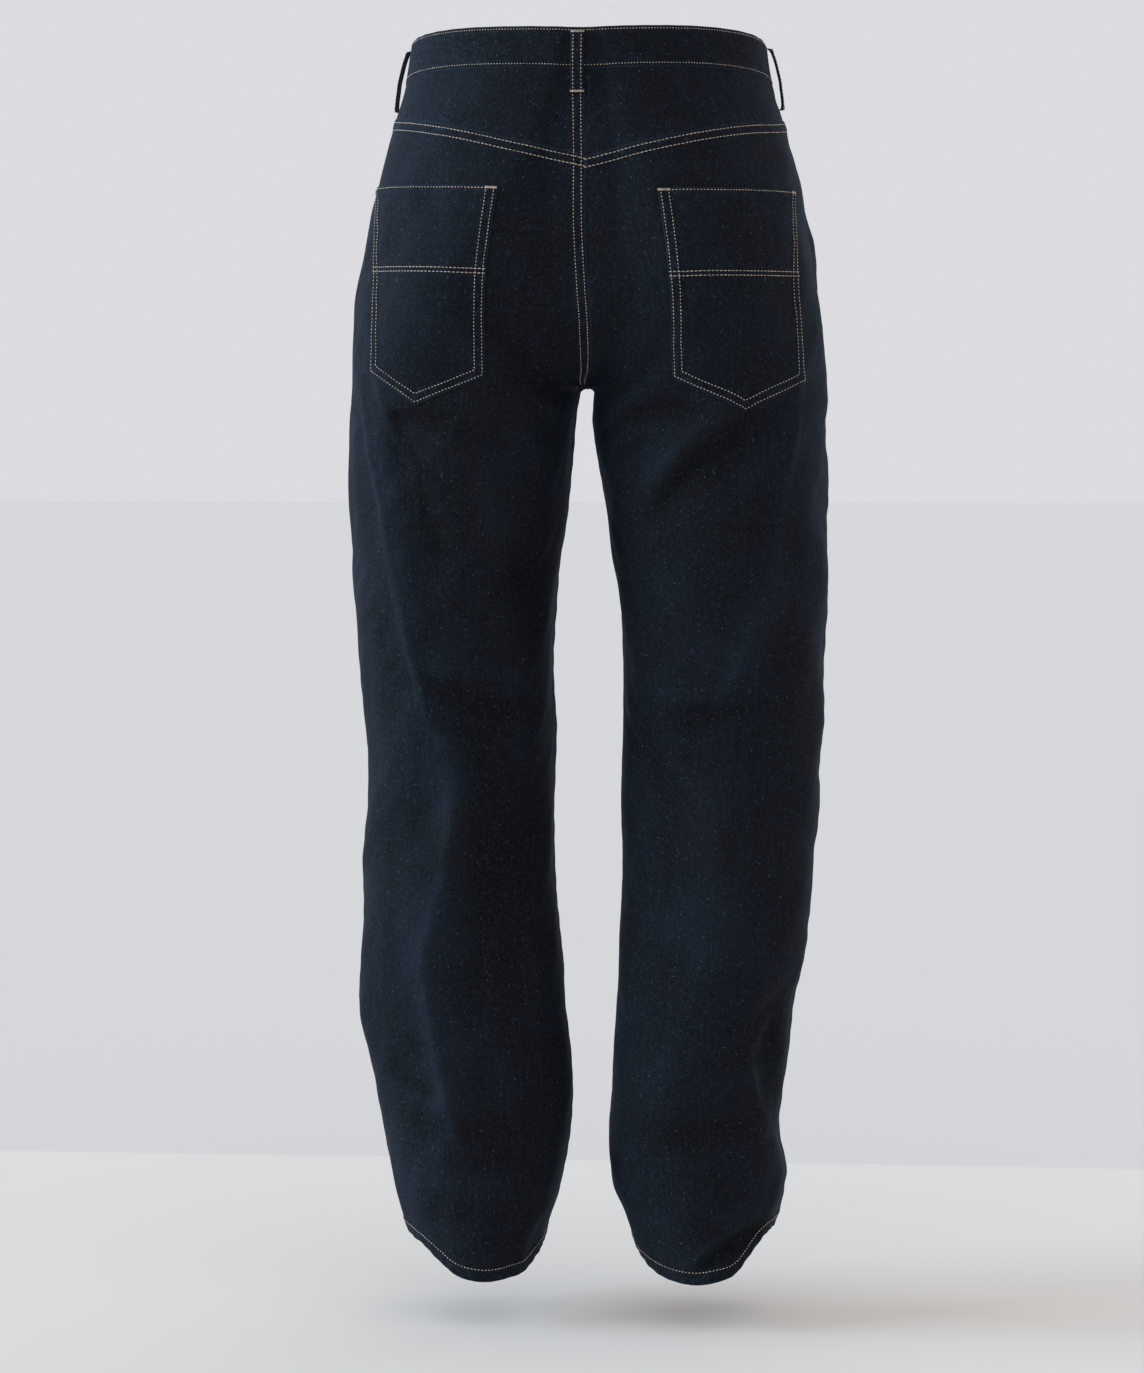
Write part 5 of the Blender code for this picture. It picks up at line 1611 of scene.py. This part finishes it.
def build_button():
    """Plain domed metal button on the lapped band end."""
    band = band_strip(1, np.array([0.98, 0.99, 1.0]), -1, np.array([0.0, 0.5, 1.0]))
    normal = unit(np.cross(unit(band[1, 2] - band[1, 0]), unit(band[2, 2] - band[0, 2])))
    if normal[1] > 0:
        normal = -normal
    normal[0] = 0.0
    normal = unit(normal)
    base = band[1, 2] + normal * (BAND_OUT + LAP_CLEAR + SEAM_GAP)
    base[0] = -BUTTON_PLACE
    up = np.cross(normal, (1.0, 0.0, 0.0))
    bm = bmesh.new()
    rings = []
    for radius, height in BUTTON_PROFILE:
        ring = []
        for k in range(BUTTON_TURNS if radius else 1):
            angle = 2 * math.pi * k / BUTTON_TURNS
            spot = base + normal * BUTTON_HEIGHT * height
            spot = spot + up * BUTTON_RADIUS * radius * math.sin(angle)
            spot[0] += BUTTON_RADIUS * radius * math.cos(angle)
            ring.append(bm.verts.new(spot * MM))
        rings.append(ring)
    for lower, upper in zip(rings, rings[1:]):
        for k in range(BUTTON_TURNS):
            after = (k + 1) % BUTTON_TURNS
            spots = ((lower, k), (lower, after), (upper, after), (upper, k))
            corners = [ring[n % len(ring)] for ring, n in spots]
            bm.faces.new([c for i, c in enumerate(corners) if c is not corners[i - 1]])
    bmesh.ops.recalc_face_normals(bm, faces=bm.faces)
    mesh = bpy.data.meshes.new("waist_button_brass")
    bm.to_mesh(mesh)
    bm.free()
    mesh.polygons.foreach_set("use_smooth", [True] * len(mesh.polygons))
    mesh.materials.append(BRASS)
    return placed("waist_button_brass", mesh)


def dress(name, piece):
    """Ride and replace one cloth piece."""
    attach(piece, "root")
    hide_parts(name)


def build_floor():
    """Plain pale floor."""
    bpy.ops.mesh.primitive_plane_add(size=FLOOR_SIZE, location=(0.0, 0.0, 0.0))
    floor = bpy.context.object
    floor.name = "floor"
    floor.data.transform(Matrix.Translation((0.0, 0.0, FLOOR)))
    floor.data.materials.append(FLOOR_PAINT)


def build_light():
    """Pale room all round and a broad soft window on the wearer's left."""
    world = bpy.data.worlds.new("pale_room")
    bpy.context.scene.world = world
    world.use_nodes = True
    world.node_tree.nodes["Background"].inputs[0].default_value = linear(ROOM_PALE)
    data = bpy.data.lights.new("window", "SUN")
    data.energy = KEY_POWER
    data.angle = math.radians(KEY_SPREAD)
    data.color = linear(KEY_COOL)[:3]
    turn = math.radians(90.0 + CAMERA_YAW - KEY_TURN)
    rise = math.radians(KEY_RISE)
    towards = (math.cos(turn) * math.cos(rise), math.sin(turn) * math.cos(rise), math.sin(rise))
    made = placed("window", data)
    made.rotation_mode = "QUATERNION"
    made.rotation_quaternion = Vector(towards).to_track_quat("Z", "Y")


def build_camera():
    """Camera behind the garment, a little to the wearer's right."""
    yaw = math.radians(CAMERA_YAW)
    tilt = math.radians(CAMERA_TILT)
    level = Vector((math.sin(yaw), -math.cos(yaw), 0.0))
    right = Vector((-math.cos(yaw), -math.sin(yaw), 0.0))
    ahead = level * math.cos(tilt) - Vector((0, 0, 1)) * math.sin(tilt)
    turn = Matrix((right, right.cross(ahead), -ahead)).transposed()
    data = bpy.data.cameras.new("camera")
    data.lens = LENS
    data.sensor_fit = "AUTO"
    data.sensor_width = FILM
    made = placed("camera", data)
    made.matrix_world = Matrix.Translation(CAMERA_PLACE) @ turn.to_4x4()
    bpy.context.scene.camera = made
    bpy.context.scene.view_settings.view_transform = "Standard"


def main():
    """Dress every node and set the stage."""
    pieces = build_half(1, "left")
    pieces.update(build_half(-1, "right"))
    pieces["waistband"] = build_waistband()
    for name, *where in LOOPS:
        pieces[name] = build_loop(name, *where)
    for name, piece in pieces.items():
        dress(name, piece)
    button = build_button()
    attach(button, "root")
    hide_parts("waist_button")
    build_floor()
    build_light()
    build_camera()


main()
